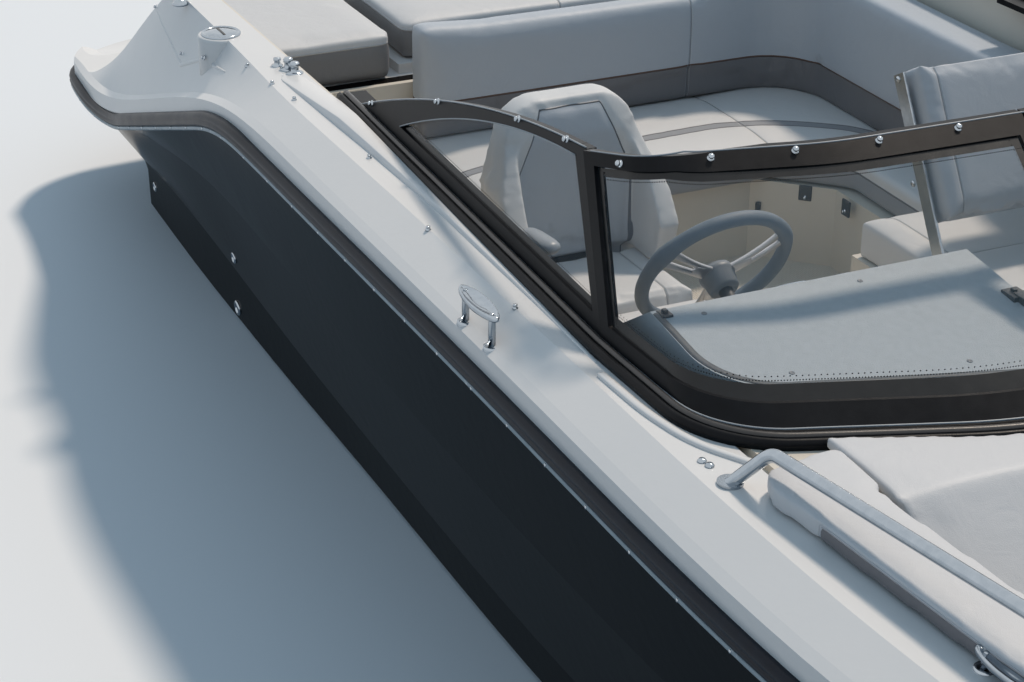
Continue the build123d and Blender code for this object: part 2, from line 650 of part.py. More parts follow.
with BuildPart() as helm_seat_back:
    with BuildSketch(Plane.XZ.offset(-seat_y - seat_half)):
        with BuildLine():
            Polyline((seat_x - 205, cushion_z + 4), (seat_x - 205, cushion_z + 134),
                     (seat_x - 60, cushion_z + 134), (seat_x - 40, cushion_z + 240),
                     (seat_x - 120, cushion_z + 360), (seat_x - 185, cushion_z + 450),
                     (seat_x - 215, seat_top), (seat_x - 290, seat_top),
                     (seat_x - 268, cushion_z + 210), (seat_x - 264, cushion_z + 4), close=True)
        make_face()
    extrude(amount=2 * seat_half)
    add(seat_outline.part, mode=Mode.INTERSECT)
    block(seat_x - 185, seat_x, seat_y - seat_half + 65, seat_y + seat_half - 65, cushion_z, 1100,
          mode=Mode.SUBTRACT)
    block(seat_x - 262 - seat_gap, seat_x - 210 + seat_gap, seat_y - 120 - seat_gap, seat_y + 120 + seat_gap,
          cushion_z - 10, pan_z + 200 + seat_gap, mode=Mode.SUBTRACT)

# Companion seat on the port side: base, cushion and a backrest that flips over on flat arms
port_seat = (1995, 2850, 360, 895)      # aft, front, inboard, outboard
port_seat_z = 390
arm_pivot = (2500, 345, 360)
arm_top = (2150, 345, 962)
arm_thick = 8
with BuildPart() as port_seat_base:
    block(*port_seat, sole_z, port_seat_z)
    for y in (port_seat[2], port_seat[3] + arm_thick + gap):
        with Locations(Location((arm_pivot[0], y, arm_pivot[2]), (90, 0, 0))):
            Cylinder(9, arm_thick + gap, align=(Align.CENTER, Align.CENTER, Align.MIN))
with BuildPart() as port_seat_cushion:
    z = port_seat_z + seat_gap
    block(port_seat[0], port_seat[1], port_seat[2], port_seat[3], z, z + cushion)
with BuildPart() as port_backrest_arms:
    for y in (port_seat[2] - gap, port_seat[3] + gap + arm_thick):
        with BuildSketch(Plane.XZ.offset(-y)):
            with BuildLine():
                way = (Vector(arm_top[0], arm_top[2]) - Vector(arm_pivot[0], arm_pivot[2])).normalized()
                side = Vector(-way.Y, way.X) * 22
                low, high = Vector(arm_pivot[0], arm_pivot[2]), Vector(arm_top[0], arm_top[2])
                Polyline(*[(p.X, p.Y) for p in (low - side, high - side, high + side, low + side)], close=True)
            make_face()
            with Locations((arm_pivot[0], arm_pivot[2])):
                Circle(22)
                Circle(9.5, mode=Mode.SUBTRACT)
        extrude(amount=arm_thick)
backrest_low = 620
with BuildPart() as port_backrest:
    with BuildSketch(Plane.XZ.offset(-port_seat[3] - gap)):
        with BuildLine():
            foot = Vector(arm_pivot[0], arm_pivot[2]) + way * ((backrest_low - arm_pivot[2]) / way.Y)
            side = Vector(-way.Y, way.X)
            Polyline(*[(p.X, p.Y) for p in (foot - side * 65, high - side * 65 + way * 10,
                                            high + side * 65 + way * 10, foot + side * 65)], close=True)
        make_face()
    extrude(amount=port_seat[3] - port_seat[2] + 2 * gap)

# Bow: seat cushions, long sloping backrests from the windshield down, bolsters along the side decks
back_foot_x = console_front_x + 590     # the backrests meet the seat cushions here
back_top_z = 988
back_half = 903
with BuildPart() as bow_cushions:
    z = bow_seat_z + seat_gap
    add(bow_outline(-3, z, z + cushion))
    block(console_front_x, back_foot_x, -1300, 1300, z, z + cushion, mode=Mode.SUBTRACT)
    block(console_front_x, footwell_front, -footwell_half, footwell_half, z, z + cushion, mode=Mode.SUBTRACT)
    block(console_front_x, bow_x, -2, 2, z, z + cushion, mode=Mode.SUBTRACT)
back_aft_x = console_front_x - 300
wedge_profile = [(back_aft_x, console_top + seat_gap), (back_aft_x, back_top_z),
                 (console_front_x + 40, back_top_z), (back_foot_x - 10, bow_seat_z + cushion + 30),
                 (back_foot_x - 10, bow_seat_z + seat_gap),
                 (console_front_x + 4, bow_seat_z + seat_gap), (console_front_x + 4, console_top + seat_gap)]
with BuildPart() as under_shield:
    with BuildSketch(Plane.XY.offset(console_top - 10)):
        with BuildLine():
            clear = foot_width / 2 + 6
            edge = FilletPolyline(*shifted([side_foot[0], *foot_line], -clear),
                                  radius=[radius + clear for radius in (2000, *foot_radii)])
            Polyline(edge @ 1, (foot_line[-1][0], 0), (1000, 0), (1000, -1000), edge @ 0)
        make_face()
    extrude(amount=200)
with BuildPart() as bow_backrests:
    add(side_slab(wedge_profile, walk_half + 10, back_half))
    add(side_slab(wedge_profile, -back_half, -walk_half - 10))
    add(under_shield.part, mode=Mode.SUBTRACT)
    add(under_shield.part.mirror(Plane.XZ), mode=Mode.SUBTRACT)
bolster_out, bolster_in = 118, -48      # beyond and inside the bow room's outline
bolster_aft_x = console_front_x - 120
bolster_thick = 45
bolster_nose = [(console_front_x + 10, back_half + 5), (bolster_aft_x - 25, back_half + 5),
                (bolster_aft_x, 1072), (bolster_aft_x + 70, 1096), (console_front_x + 10, 1086)]
with BuildPart() as bow_bolsters:
    z = gunwale_z + seat_gap
    add(bow_outline(bolster_out, z, z + bolster_thick))
    add(bow_outline(bolster_in, z, z + bolster_thick), mode=Mode.SUBTRACT)
    block(bow_x - 660, bow_x, -1300, 1300, z, z + bolster_thick, mode=Mode.SUBTRACT)
    for side in (1, -1):
        with BuildSketch(Plane.XY.offset(z)):
            with BuildLine():
                FilletPolyline(*[(x, side * y) for x, y in bolster_nose], radius=[0.1, 20, 45, 60, 0.1],
                               close=True)
            make_face()
        extrude(amount=bolster_thick)
    add(bow_backrests.part, mode=Mode.SUBTRACT)

# Stainless grab rails on the foredeck
rail_tube = 12.5
rail_path = [(console_front_x - 160, 1106, gunwale_z), (console_front_x - 105, 1062, gunwale_z + 78),
             (console_front_x + 510, 1000, gunwale_z + 110), (bow_x - 900, 905, gunwale_z + 110),
             (bow_x - 620, 765, gunwale_z + 80), (bow_x - 590, 748, gunwale_z)]
with BuildPart() as grab_rails:
    for turn in (1, -1):
        spots = [(x, turn * y, z) for x, y, z in rail_path]
        with BuildLine() as route:
            FilletPolyline(*spots, radius=40)
        with BuildSketch(Plane(origin=route.line @ 0, z_dir=route.line % 0)):
            Circle(rail_tube)
        sweep(path=route.line)
        for x, y, z in (spots[0], spots[-1]):
            with Locations((x, y, z)):
                Cylinder(24, 6, align=(Align.CENTER, Align.CENTER, Align.MIN))
    add(deck.part, mode=Mode.SUBTRACT)

# Pull-up cleats, drawn up: a lens-shaped bar on two posts
cleat_half = 92.5
cleat_bulge = 22
cleats_at = [(dash_x - 345, 1180), (bow_x - 470, 700)]
with BuildPart() as cleats:
    for x, y in cleats_at:
        for side in (1, -1):
            with BuildSketch(Plane.XY.offset(gunwale_z + 36)):
                with BuildLine():
                    aft, front = (x - cleat_half, side * y), (x + cleat_half, side * y)
                    ThreePointArc(aft, (x, side * y + cleat_bulge), front)
                    ThreePointArc(front, (x, side * y - cleat_bulge), aft)
                make_face()
            extrude(amount=12)
            for post in (-32, 32):
                with Locations((x + post, side * y, gunwale_z - 60)):
                    Cylinder(8, 100, align=(Align.CENTER, Align.CENTER, Align.MIN))
    add(deck.part, mode=Mode.SUBTRACT)

# Sterndrive: fixed gimbal housing, steering ring, tilting leg, trim rams and propeller
steer_x = -190
tilt_z = -40
prop_z = -540
with BuildPart() as drive_housing:
    block(-24, 0, -185, 185, -230, 120)
    block(steer_x - 30, -20, -40, 40, 78, 112)
    block(steer_x - 30, -20, -40, 40, -212, -178)
pivot_pin = 12
pin_play = 0.4
ring_half = 150
ring_wall = 32
ram_y = ring_half + 28
ram_foot = Vector(steer_x + 30, 0, tilt_z - 100)
ram_eye = Vector(steer_x - 235, 0, tilt_z - 110)
ram_way = (ram_eye - ram_foot).normalized()
barrel_radius = 22
barrel_length = 172
rod_radius = 11
pin_radius = 9


def across(x, y, z, radius, length, mode=Mode.ADD):
    # a cylinder along Y from y outwards, on both sides of the boat
    for side in (1, -1):
        with Locations(Location((x, side * y, z), (-90 * side, 0, 0))):
            Cylinder(radius, length, align=(Align.CENTER, Align.CENTER, Align.MIN), mode=mode)


with BuildPart() as drive_ring:
    block(steer_x - 25, steer_x + 25, -ring_half, ring_half, -170, 70)
    block(steer_x - 25, steer_x + 25, -ring_half + ring_wall, ring_half - ring_wall, -138, 38, mode=Mode.SUBTRACT)
    for y0, y1 in ((-ring_half, -ring_half + ring_wall), (ring_half - ring_wall, ring_half)):
        block(steer_x, ram_foot.X + 24, y0, y1, -170, -112)
    across(steer_x, ring_half - ring_wall - 1, tilt_z, pivot_pin + pin_play, ring_wall + 2, Mode.SUBTRACT)
    across(ram_foot.X, ring_half, ram_foot.Z, pin_radius, 2 * (ram_y - ring_half))
    with Locations((steer_x, 0, 70)):
        Cylinder(pivot_pin, 7.9, align=(Align.CENTER, Align.CENTER, Align.MIN))
    with Locations((steer_x, 0, -177.9)):
        Cylinder(pivot_pin, 7.9, align=(Align.CENTER, Align.CENTER, Align.MIN))
shaft_radius = 15
with BuildPart() as drive_leg:
    with Locations(Location((steer_x, 0, tilt_z), (90, 0, 0))):
        Cylinder(62, 210)
    block(-440, steer_x - 75, -80, 80, -300, 5)
    block(steer_x - 80, steer_x, -80, 80, tilt_z - 30, tilt_z + 30)
    across(steer_x, 100, tilt_z, pivot_pin, ring_half - 108)
    across(ram_eye.X, 79, ram_eye.Z, pin_radius, ram_y + 15 - 79)
    with BuildSketch(Plane.XY.offset(-300)):
        with Locations((-420, 0)):
            Ellipse(150, 60)
    with BuildSketch(Plane.XY.offset(prop_z)):
        with Locations((-410, 0)):
            Ellipse(120, 26)
    loft()
    with BuildSketch(Plane.XY.offset(-352)):
        with Locations((-450, 0)):
            Ellipse(230, 105)
    extrude(amount=10)
    with BuildSketch(Plane.XZ):
        with BuildLine():
            Polyline((-300, prop_z), (-540, prop_z), (-540, prop_z + 48), (-400, prop_z + 52))
            ThreePointArc((-400, prop_z + 52), (-330, prop_z + 34), (-300, prop_z))
        make_face()
    revolve(axis=Axis((0, 0, prop_z), (1, 0, 0)))
    with Locations(Location((-535, 0, prop_z), (0, -90, 0))):
        Cylinder(shaft_radius, 135, align=(Align.CENTER, Align.CENTER, Align.MIN))
    with BuildSketch(Plane.XZ.offset(-5)):
        with BuildLine():
            Polyline((-350, prop_z - 30), (-500, prop_z - 30), (-520, prop_z - 190), (-440, prop_z - 200),
                     close=True)
        make_face()
    extrude(amount=10)
with BuildPart() as propeller:
    with Locations(Location((-545, 0, prop_z), (0, -90, 0))):
        Cylinder(46, 110, align=(Align.CENTER, Align.CENTER, Align.MIN))
    for k in range(3):
        for radius, pitch, chord in ((40, 62, 90), (110, 36, 140), (176, 26, 70)):
            angle = radians(120 * k)
            out = Vector(0, sin(angle), cos(angle))
            with BuildSketch(Plane(origin=(-600, radius * out.Y, prop_z + radius * out.Z), z_dir=tuple(out),
                                   x_dir=tuple(Vector(1, 0, 0).rotate(Axis((0, 0, 0), tuple(out)), pitch)))):
                Rectangle(chord, 7)
        loft()
    with Locations(Location((-500, 0, prop_z), (0, -90, 0))):
        Cylinder(shaft_radius + 0.1, 200, align=(Align.CENTER, Align.CENTER, Align.MIN), mode=Mode.SUBTRACT)

# Trim rams: barrels on the steering ring, rods to a cross pin through the leg
with BuildPart() as trim_ram_barrels:
    for side in (1, -1):
        foot = ram_foot + Vector(0, side * ram_y, 0)
        with BuildSketch(Plane(origin=tuple(foot), z_dir=tuple(ram_way))):
            Circle(barrel_radius)
        extrude(amount=barrel_length)
        with BuildSketch(Plane(origin=tuple(foot + ram_way * 30), z_dir=tuple(ram_way))):
            Circle(rod_radius + 0.5)
        extrude(amount=barrel_length, mode=Mode.SUBTRACT)
    across(ram_foot.X, ram_y - 16, ram_foot.Z, 24, 32)
    across(ram_foot.X, ram_y - barrel_radius - 2, ram_foot.Z, pin_radius + pin_play, 2 * barrel_radius + 4,
           Mode.SUBTRACT)
with BuildPart() as trim_ram_rods:
    for side in (1, -1):
        with BuildSketch(Plane(origin=tuple(ram_foot + ram_way * 62 + Vector(0, side * ram_y, 0)),
                               z_dir=tuple(ram_way))):
            Circle(rod_radius)
        extrude(amount=(ram_eye - ram_foot).length - 62)
    across(ram_eye.X, ram_y - 13, ram_eye.Z, 25, 26)
    across(ram_eye.X, ram_y - 14, ram_eye.Z, pin_radius + 4, 28, Mode.SUBTRACT)

# Deck fittings: filler caps and studs, let into the deck. Columns: x, y, radius, height over the deck
fittings = [(1140, -1120, 50, 6), (835, -1139, 22, 5), (1490, -1060, 26, 14), (1490, 1060, 26, 14)]
with BuildPart() as deck_fittings:
    for x, y, radius, height in fittings:
        with Locations((x, y, gunwale_z - 60)):
            Cylinder(radius, 60 + height, align=(Align.CENTER, Align.CENTER, Align.MIN))
    add(deck.part, mode=Mode.SUBTRACT)
    add(hull.part, mode=Mode.SUBTRACT)

# Towing eye on the stem and two eyes on the transom
eye_bore = 12
bow_eye_at = (bow_x - 12, 330)
with BuildPart() as bow_eye:
    with BuildSketch(Plane.XZ.offset(-8)):
        with Locations(bow_eye_at):
            Circle(30)
        with Locations((bow_eye_at[0] - 60, bow_eye_at[1])):
            Rectangle(120, 36)
        with Locations(bow_eye_at):
            Circle(eye_bore, mode=Mode.SUBTRACT)
    extrude(amount=16)
    add(hull.part, mode=Mode.SUBTRACT)
stern_eye_at = (-34, 70)
stern_eye_y = 760
with BuildPart() as stern_eyes:
    for y in (stern_eye_y, -stern_eye_y):
        with BuildSketch(Plane.XZ.offset(-y - 7)):
            with Locations(stern_eye_at):
                Circle(24)
            with Locations((stern_eye_at[0] / 2, stern_eye_at[1])):
                Rectangle(-stern_eye_at[0], 26)
            with Locations(stern_eye_at):
                Circle(eye_bore, mode=Mode.SUBTRACT)
        extrude(amount=14)

# Every piece to its file
pieces = {
    "hull": hull, "deck": deck, "rub_rail": rub_rail, "platform_pad": platform_pad,
    "cockpit_liner": cockpit_liner, "bow_liner": bow_liner, "engine": engine, "engine_hatch": engine_hatch,
    "sunpad_main": sunpad_main, "sunpads_side": sunpads_side, "lounge_base": lounge_base,
    "lounge_cushions": lounge_cushions, "lounge_backrests": lounge_backrests,
    "floor_locker_lid": floor_locker_lid, "windshield_frames": windshield_frames,
    "windshield_glass": windshield_glass, "windshield_door_frame": windshield_door_frame,
    "windshield_door_glass": windshield_door_glass, "helm_console": helm_console, "port_console": port_console,
    "glovebox_door": glovebox_door, "helm_dash": helm_dash, "port_dash": port_dash, "helm_pod": helm_pod,
    "steering_column": steering_column, "steering_wheel": steering_wheel, "throttle": throttle,
    "helm_pedestal": helm_pedestal, "helm_seat_pan": helm_seat_pan, "helm_seat_cushion": helm_seat_cushion,
    "helm_bolster": helm_bolster, "helm_seat_back": helm_seat_back, "port_seat_base": port_seat_base,
    "port_seat_cushion": port_seat_cushion, "port_backrest_arms": port_backrest_arms,
    "port_backrest": port_backrest, "bow_cushions": bow_cushions, "bow_backrests": bow_backrests,
    "bow_bolsters": bow_bolsters, "grab_rails": grab_rails, "cleats": cleats, "deck_fittings": deck_fittings,
    "bow_eye": bow_eye, "stern_eyes": stern_eyes, "drive_housing": drive_housing, "drive_ring": drive_ring,
    "drive_leg": drive_leg, "propeller": propeller, "trim_ram_barrels": trim_ram_barrels,
    "trim_ram_rods": trim_ram_rods,
}
for name, piece in pieces.items():
    piece.part.label = name
    export_step(piece.part, f"parts/{name}.step")
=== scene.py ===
import math

import bpy
import numpy as np
from mathutils import Matrix, Vector
from mathutils.bvhtree import BVHTree


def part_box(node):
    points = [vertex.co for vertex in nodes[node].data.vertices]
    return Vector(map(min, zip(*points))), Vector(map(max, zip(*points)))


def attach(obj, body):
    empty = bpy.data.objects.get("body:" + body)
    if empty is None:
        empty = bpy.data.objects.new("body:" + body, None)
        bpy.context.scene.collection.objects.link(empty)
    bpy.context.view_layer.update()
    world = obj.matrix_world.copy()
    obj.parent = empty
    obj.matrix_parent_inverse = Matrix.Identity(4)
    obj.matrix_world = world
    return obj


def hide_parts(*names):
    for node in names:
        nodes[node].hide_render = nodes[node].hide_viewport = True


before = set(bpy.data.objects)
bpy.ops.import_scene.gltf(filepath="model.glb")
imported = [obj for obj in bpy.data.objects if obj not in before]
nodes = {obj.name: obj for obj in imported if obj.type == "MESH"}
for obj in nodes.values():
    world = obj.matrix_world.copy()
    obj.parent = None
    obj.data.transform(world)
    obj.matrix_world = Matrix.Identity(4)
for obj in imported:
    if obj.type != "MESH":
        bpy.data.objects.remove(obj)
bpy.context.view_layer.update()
print("frame loaded:", len(nodes), "nodes")


# Helpers for surfaces

def mm(*points):
    # points told in millimetres, in metres
    return [(a / 1000, b / 1000) for a, b in points]


def joined(name, parts, look, body="boat", smooth=True):
    # one object from several (points, faces), in a look, riding on a body
    points, faces, start = [], [], 0
    for p, f in parts:
        points += np.asarray(p, float).tolist()
        faces += [[int(i) + start for i in face] for face in f]
        start += len(p)
    mesh = bpy.data.meshes.new(name)
    mesh.from_pydata(points, [], faces)
    mesh.validate()
    mesh.polygons.foreach_set("use_smooth", np.full(len(mesh.polygons), smooth))
    mesh.materials.append(surfaces[look])
    piece = bpy.data.objects.new(name, mesh)
    bpy.context.scene.collection.objects.link(piece)
    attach(piece, body)
    return piece


def gridFaces(rows, columns, closeRows=False, closeColumns=False):
    # quads of a rows x columns grid of points, wrapped round where asked
    r = np.arange(rows if closeRows else rows - 1)
    c = np.arange(columns if closeColumns else columns - 1)
    r, c = np.meshgrid(r, c, indexing="ij")
    r2, c2 = (r + 1) % rows, (c + 1) % columns
    quads = np.stack([r * columns + c, r * columns + c2, r2 * columns + c2, r2 * columns + c], -1)
    return quads.reshape(-1, 4)


def stackFaces(rows, count):
    # the wall of a stack of rows rings, each of count points, and its two ends
    last = (rows - 1) * count
    return gridFaces(rows, count, False, True).tolist() + [[*range(count)][::-1], [*range(last, last + count)]]


def smoothLoop(points, count):
    # a closed Catmull-Rom curve through the points, at even steps of its own length
    p = np.asarray(points, float)
    p = np.vstack([p[-1], p, p[0], p[1]])
    t = np.linspace(0, 1, 17)[:-1][None, :, None]
    a, b, c, d = (p[i:len(p) - 3 + i, None, :] for i in range(4))
    line = 0.5 * (2 * b + (c - a) * t + (2 * a - 5 * b + 4 * c - d) * t**2 + (3 * b - a - 3 * c + d) * t**3)
    line = line.reshape(-1, p.shape[1])
    return evenLine(np.vstack([line, line[0]]), count + 1)[:-1]


def evenLine(points, count):
    # the same polyline at count even steps of its length
    p = np.asarray(points, float)
    s = np.concatenate([[0], np.cumsum(np.linalg.norm(np.diff(p, axis=0), axis=1))])
    at = np.linspace(0, s[-1], count)
    return np.stack([np.interp(at, s, p[:, k]) for k in range(p.shape[1])], 1)


def roundedLine(points, radii, per=24):
    # straight runs joined by arcs of the given radii, each run and arc with the same number of points
    p = [np.array(q, float) for q in points]
    runs, last = [], p[0]
    for a, b, c, r in zip(p, p[1:], p[2:], radii):
        u, w = (a - b) / np.linalg.norm(a - b), (c - b) / np.linalg.norm(c - b)
        half = math.acos(float(np.clip(u @ w, -1, 1))) / 2
        start, end = b + u * r / math.tan(half), b + w * r / math.tan(half)
        centre = b + (u + w) / np.linalg.norm(u + w) * r / math.sin(half)
        first = math.atan2(*(start - centre)[::-1])
        turn = (math.atan2(*(end - centre)[::-1]) - first + math.pi) % (2 * math.pi) - math.pi
        angle = first + turn * np.linspace(0, 1, per)
        runs += [np.linspace(last, start, per), centre + r * np.stack([np.cos(angle), np.sin(angle)], 1)]
        last = end
    return np.vstack([*runs, np.linspace(last, p[-1], per)])


def carried(path, profile, up=(0, 0, 1), closed=False, scale=None):
    # a profile (side, up) carried square to a path; side points right of the way
    path, profile = np.asarray(path, float), np.asarray(profile, float)
    way = np.roll(path, -1, 0) - np.roll(path, 1, 0)
    if not closed:
        way[0], way[-1] = path[1] - path[0], path[-1] - path[-2]
    way /= np.linalg.norm(way, axis=1)[:, None]
    side = np.cross(way, np.asarray(up, float))
    side /= np.linalg.norm(side, axis=1)[:, None]
    top = np.cross(side, way)
    size = np.ones(len(path)) if scale is None else np.asarray(scale, float)
    return (path[:, None] + side[:, None] * (profile[None, :, :1] * size[:, None, None])
            + top[:, None] * (profile[None, :, 1:] * size[:, None, None])).reshape(-1, 3)


def circleProfile(radius, count):
    # even points of a circle, anticlockwise
    a = np.linspace(0, 2 * np.pi, count, endpoint=False)
    return np.stack([np.cos(a), np.sin(a)], 1) * radius


def sweepPart(path, profile, up=(0, 0, 1), scale=None, closed=False):
    # points and faces of a closed profile, listed anticlockwise, carried along a path
    faces = gridFaces(len(path), len(profile), True, True) if closed else stackFaces(len(path), len(profile))
    return carried(path, profile, up, closed, scale), [list(face)[::-1] for face in faces]


def bothSides(points, faces):
    # a part and its mirror image on the port side
    points = np.asarray(points, float)
    return [(points, faces), (points * [1, -1, 1], [list(face)[::-1] for face in faces])]


def turnTo(axis):
    # the rotation that carries z onto an axis
    return np.array(Vector((0, 0, 1)).rotation_difference(Vector(axis)).to_matrix())


def turned(profile, count, at, axis=(0, 0, 1)):
    # a profile (radius, height) turned about an axis through a point
    profile = np.asarray(profile, float)
    a = np.linspace(0, 2 * np.pi, count, endpoint=False)
    ring = np.stack([np.cos(a), np.sin(a)], 1)
    flat = np.concatenate([profile[:, None, :1] * ring[None], np.broadcast_to(profile[:, None, 1:],
                           (len(profile), count, 1))], 2).reshape(-1, 3)
    return flat @ turnTo(axis).T + np.asarray(at, float)


def turnedParts(profile, places, axis=(0, 0, 1), count=16):
    # the same turned shape at several places, from the foot of the profile up
    faces = stackFaces(len(profile), count)
    return [(turned(profile, count, at, axis), faces) for at in places]


def soften(piece, width, segments=2, angle=35):
    # rounded edges, by a Bevel modifier on the sharp ones
    bevel = piece.modifiers.new("edges", "BEVEL")
    bevel.width, bevel.segments = width, segments
    bevel.limit_method, bevel.angle_limit = "ANGLE", math.radians(angle)
    bevel.harden_normals = False
    return piece


def boxPart(low, high):
    # eight corners and six faces, pointing out
    (x0, y0, z0), (x1, y1, z1) = low, high
    points = [(x0, y0, z0), (x1, y0, z0), (x1, y1, z0), (x0, y1, z0), (x0, y0, z1), (x1, y0, z1), (x1, y1, z1),
              (x0, y1, z1)]
    faces = [(3, 2, 1, 0), (4, 5, 6, 7), (0, 1, 5, 4), (1, 2, 6, 5), (2, 3, 7, 6), (3, 0, 4, 7)]
    return points, faces


def plate(outline, low, high):
    # a flat outline, x and y, anticlockwise, given a thickness; points and faces
    return np.vstack([np.column_stack([outline, np.full(len(outline), z)]) for z in (low, high)]), stackFaces(
        2, len(outline))


# Materials. Each is worked out by its own nodes from the object's coordinates

def feed(tree, socket, value):
    # an input takes another node's output, a colour or a number
    if isinstance(value, bpy.types.NodeSocket):
        tree.links.new(value, socket)
    elif value is not None:
        socket.default_value = (*value, 1) if isinstance(value, tuple) else value


def addNode(tree, kind, **values):
    # a new node with its settings and inputs
    node = tree.nodes.new(kind)
    for key, value in values.items():
        if key in node.inputs:
            feed(tree, node.inputs[key], value)
        else:
            setattr(node, key, value)
    return node


def fed(tree, kind, sockets, output, **settings):
    # a new node whose inputs are given by number or name, and its output
    node = addNode(tree, kind, **settings)
    for key, value in sockets.items():
        feed(tree, node.inputs[key], value)
    return node.outputs[output]


def maths(tree, operation, a, b=None):
    # one sum on sockets or numbers
    return fed(tree, "ShaderNodeMath", {0: a, 1: b}, 0, operation=operation)


def mixed(tree, factor, a, b):
    # a colour mixed with another
    return fed(tree, "ShaderNodeMix", {0: factor, 6: a, 7: b}, 2, data_type="RGBA")


def mapped(tree, value, low=0.0, high=1.0, least=0.0, most=1.0, kind="LINEAR"):
    # a value carried from one range to another
    ends = {"Value": value, "From Min": low, "From Max": high, "To Min": least, "To Max": most}
    return fed(tree, "ShaderNodeMapRange", ends, "Result", interpolation_type=kind)


def noise(tree, place, **values):
    # soft clouds, 0 to 1
    return addNode(tree, "ShaderNodeTexNoise", Vector=place, **values).outputs["Fac"]


def cells(tree, place, scale):
    # pebbles: the distance to the nearest of many scattered points
    return addNode(tree, "ShaderNodeTexVoronoi", Vector=place, Scale=scale).outputs["Distance"]


def bumped(tree, shader, height, depth):
    # relief: a height times a depth in metres
    bump = addNode(tree, "ShaderNodeBump", Height=height, Strength=1.0, Distance=depth)
    tree.links.new(bump.outputs["Normal"], shader.inputs["Normal"])


def openMaterial(name, base=None):
    # a new material or a copy of one, its tree, its shader and the object's coordinates
    material = base.copy() if base else bpy.data.materials.new(name)
    material.name, material.use_nodes = name, True
    tree = material.node_tree
    return material, tree, tree.nodes["Principled BSDF"], addNode(tree, "ShaderNodeTexCoord").outputs["Object"]


def finish(name, colour, second, patch, rough, grain, metal=0.0, coat=0.0, specular=0.5, alpha=1.0, wear=None):
    # a surface whose colour drifts to a second one, with roughness that drifts too, a bump grain and scuffs
    material, tree, shader, place = openMaterial(name)
    for key, value in {"Metallic": metal, "Coat Weight": coat, "Coat Roughness": 0.06,
                       "Specular IOR Level": specular, "Alpha": alpha}.items():
        shader.inputs[key].default_value = value
    cloud = noise(tree, place, Scale=patch, Detail=4.0, Roughness=0.6)
    ramp = addNode(tree, "ShaderNodeValToRGB", Fac=cloud)
    for stop, position, tint in zip(ramp.color_ramp.elements, (0.3, 0.7), (colour, second)):
        stop.position, stop.color = position, (*tint, 1)
    shade = ramp.outputs["Color"]
    if wear:
        # scuffs: small patches of a third colour where a fine noise peaks
        tint, scale, peak = wear
        scuff = noise(tree, place, Scale=scale, Detail=6.0, Roughness=0.7)
        shade = mixed(tree, mapped(tree, scuff, peak, peak + 0.08), shade, tint)
    tree.links.new(shade, shader.inputs["Base Color"])
    tree.links.new(mapped(tree, cloud, least=rough[0], most=rough[1]), shader.inputs["Roughness"])
    if grain:
        kind, scale, depth = grain
        height = cells(tree, place, scale) if kind == "cells" else noise(tree, place, Scale=scale, Detail=3.0)
        bumped(tree, shader, height, depth)
    return material


thread = {"seam": 0.0011, "away": 0.0055, "width": 0.0006, "turns": 900.0, "groove": 0.003, "bead": 0.003,
          "grain": 0.00022, "folds": 0.0022}


def vinyl(name, upper, lower, piping, pipeWidth=0.003):
    # upholstery: upper colour where band > 0, lower under it, piping between; seams where seamA, B or C is 0
    material, tree, shader, place = openMaterial(name)
    shader.inputs["Specular IOR Level"].default_value = 0.4
    shader.inputs["Sheen Weight"].default_value = 0.08
    band, *seams = (addNode(tree, "ShaderNodeAttribute", attribute_name=key).outputs["Fac"]
                    for key in ("band", "seamA", "seamB", "seamC"))
    cloud = noise(tree, place, Scale=6.0, Detail=4.0, Roughness=0.6)
    drift = maths(tree, "MULTIPLY", cloud, 0.5)
    top = mixed(tree, drift, upper, tuple(c * 0.9 for c in upper))
    under = mixed(tree, drift, lower, tuple(c * 0.82 for c in lower))
    shade = mixed(tree, maths(tree, "GREATER_THAN", band, 0.0), under, top)
    nearBand = maths(tree, "ABSOLUTE", band)
    shade = mixed(tree, maths(tree, "LESS_THAN", nearBand, pipeWidth), shade, piping)
    a, b, c = (maths(tree, "ABSOLUTE", seam) for seam in seams)
    near = maths(tree, "MINIMUM", maths(tree, "MINIMUM", a, b), c)
    line = maths(tree, "LESS_THAN", near, thread["seam"])
    shade = mixed(tree, maths(tree, "MULTIPLY", line, 0.75), shade, tuple(c * 0.25 for c in upper))
    # a row of stitches each side of the seam
    x, y, z = addNode(tree, "ShaderNodeSeparateXYZ", Vector=place).outputs
    run = maths(tree, "ADD", maths(tree, "ADD", x, y), z)
    dash = maths(tree, "GREATER_THAN", maths(tree, "SINE", maths(tree, "MULTIPLY", run, thread["turns"])), -0.3)
    aside = maths(tree, "ABSOLUTE", maths(tree, "SUBTRACT", near, thread["away"]))
    row = maths(tree, "LESS_THAN", aside, thread["width"])
    stitch = maths(tree, "MULTIPLY", maths(tree, "MULTIPLY", dash, row), 0.5)
    shade = mixed(tree, stitch, shade, tuple(min(1.0, c * 1.25) for c in upper))
    tree.links.new(shade, shader.inputs["Base Color"])
    tree.links.new(mapped(tree, cloud, least=0.42, most=0.56), shader.inputs["Roughness"])
    # the seam's groove, the piping's bead, leather grain and soft folds
    dip = mapped(tree, near, 0.0, 0.006, kind="SMOOTHSTEP")
    bead = mapped(tree, nearBand, pipeWidth + 0.001, 0.0, kind="SMOOTHSTEP")
    folds = noise(tree, place, Scale=14.0, Detail=3.0, Distortion=0.6)
    height = maths(tree, "MULTIPLY", dip, thread["groove"])
    for part, depth in ((bead, "bead"), (cells(tree, place, 620.0), "grain"), (folds, "folds")):
        height = maths(tree, "ADD", height, maths(tree, "MULTIPLY", part, thread[depth]))
    bumped(tree, shader, height, 1.0)
    return material


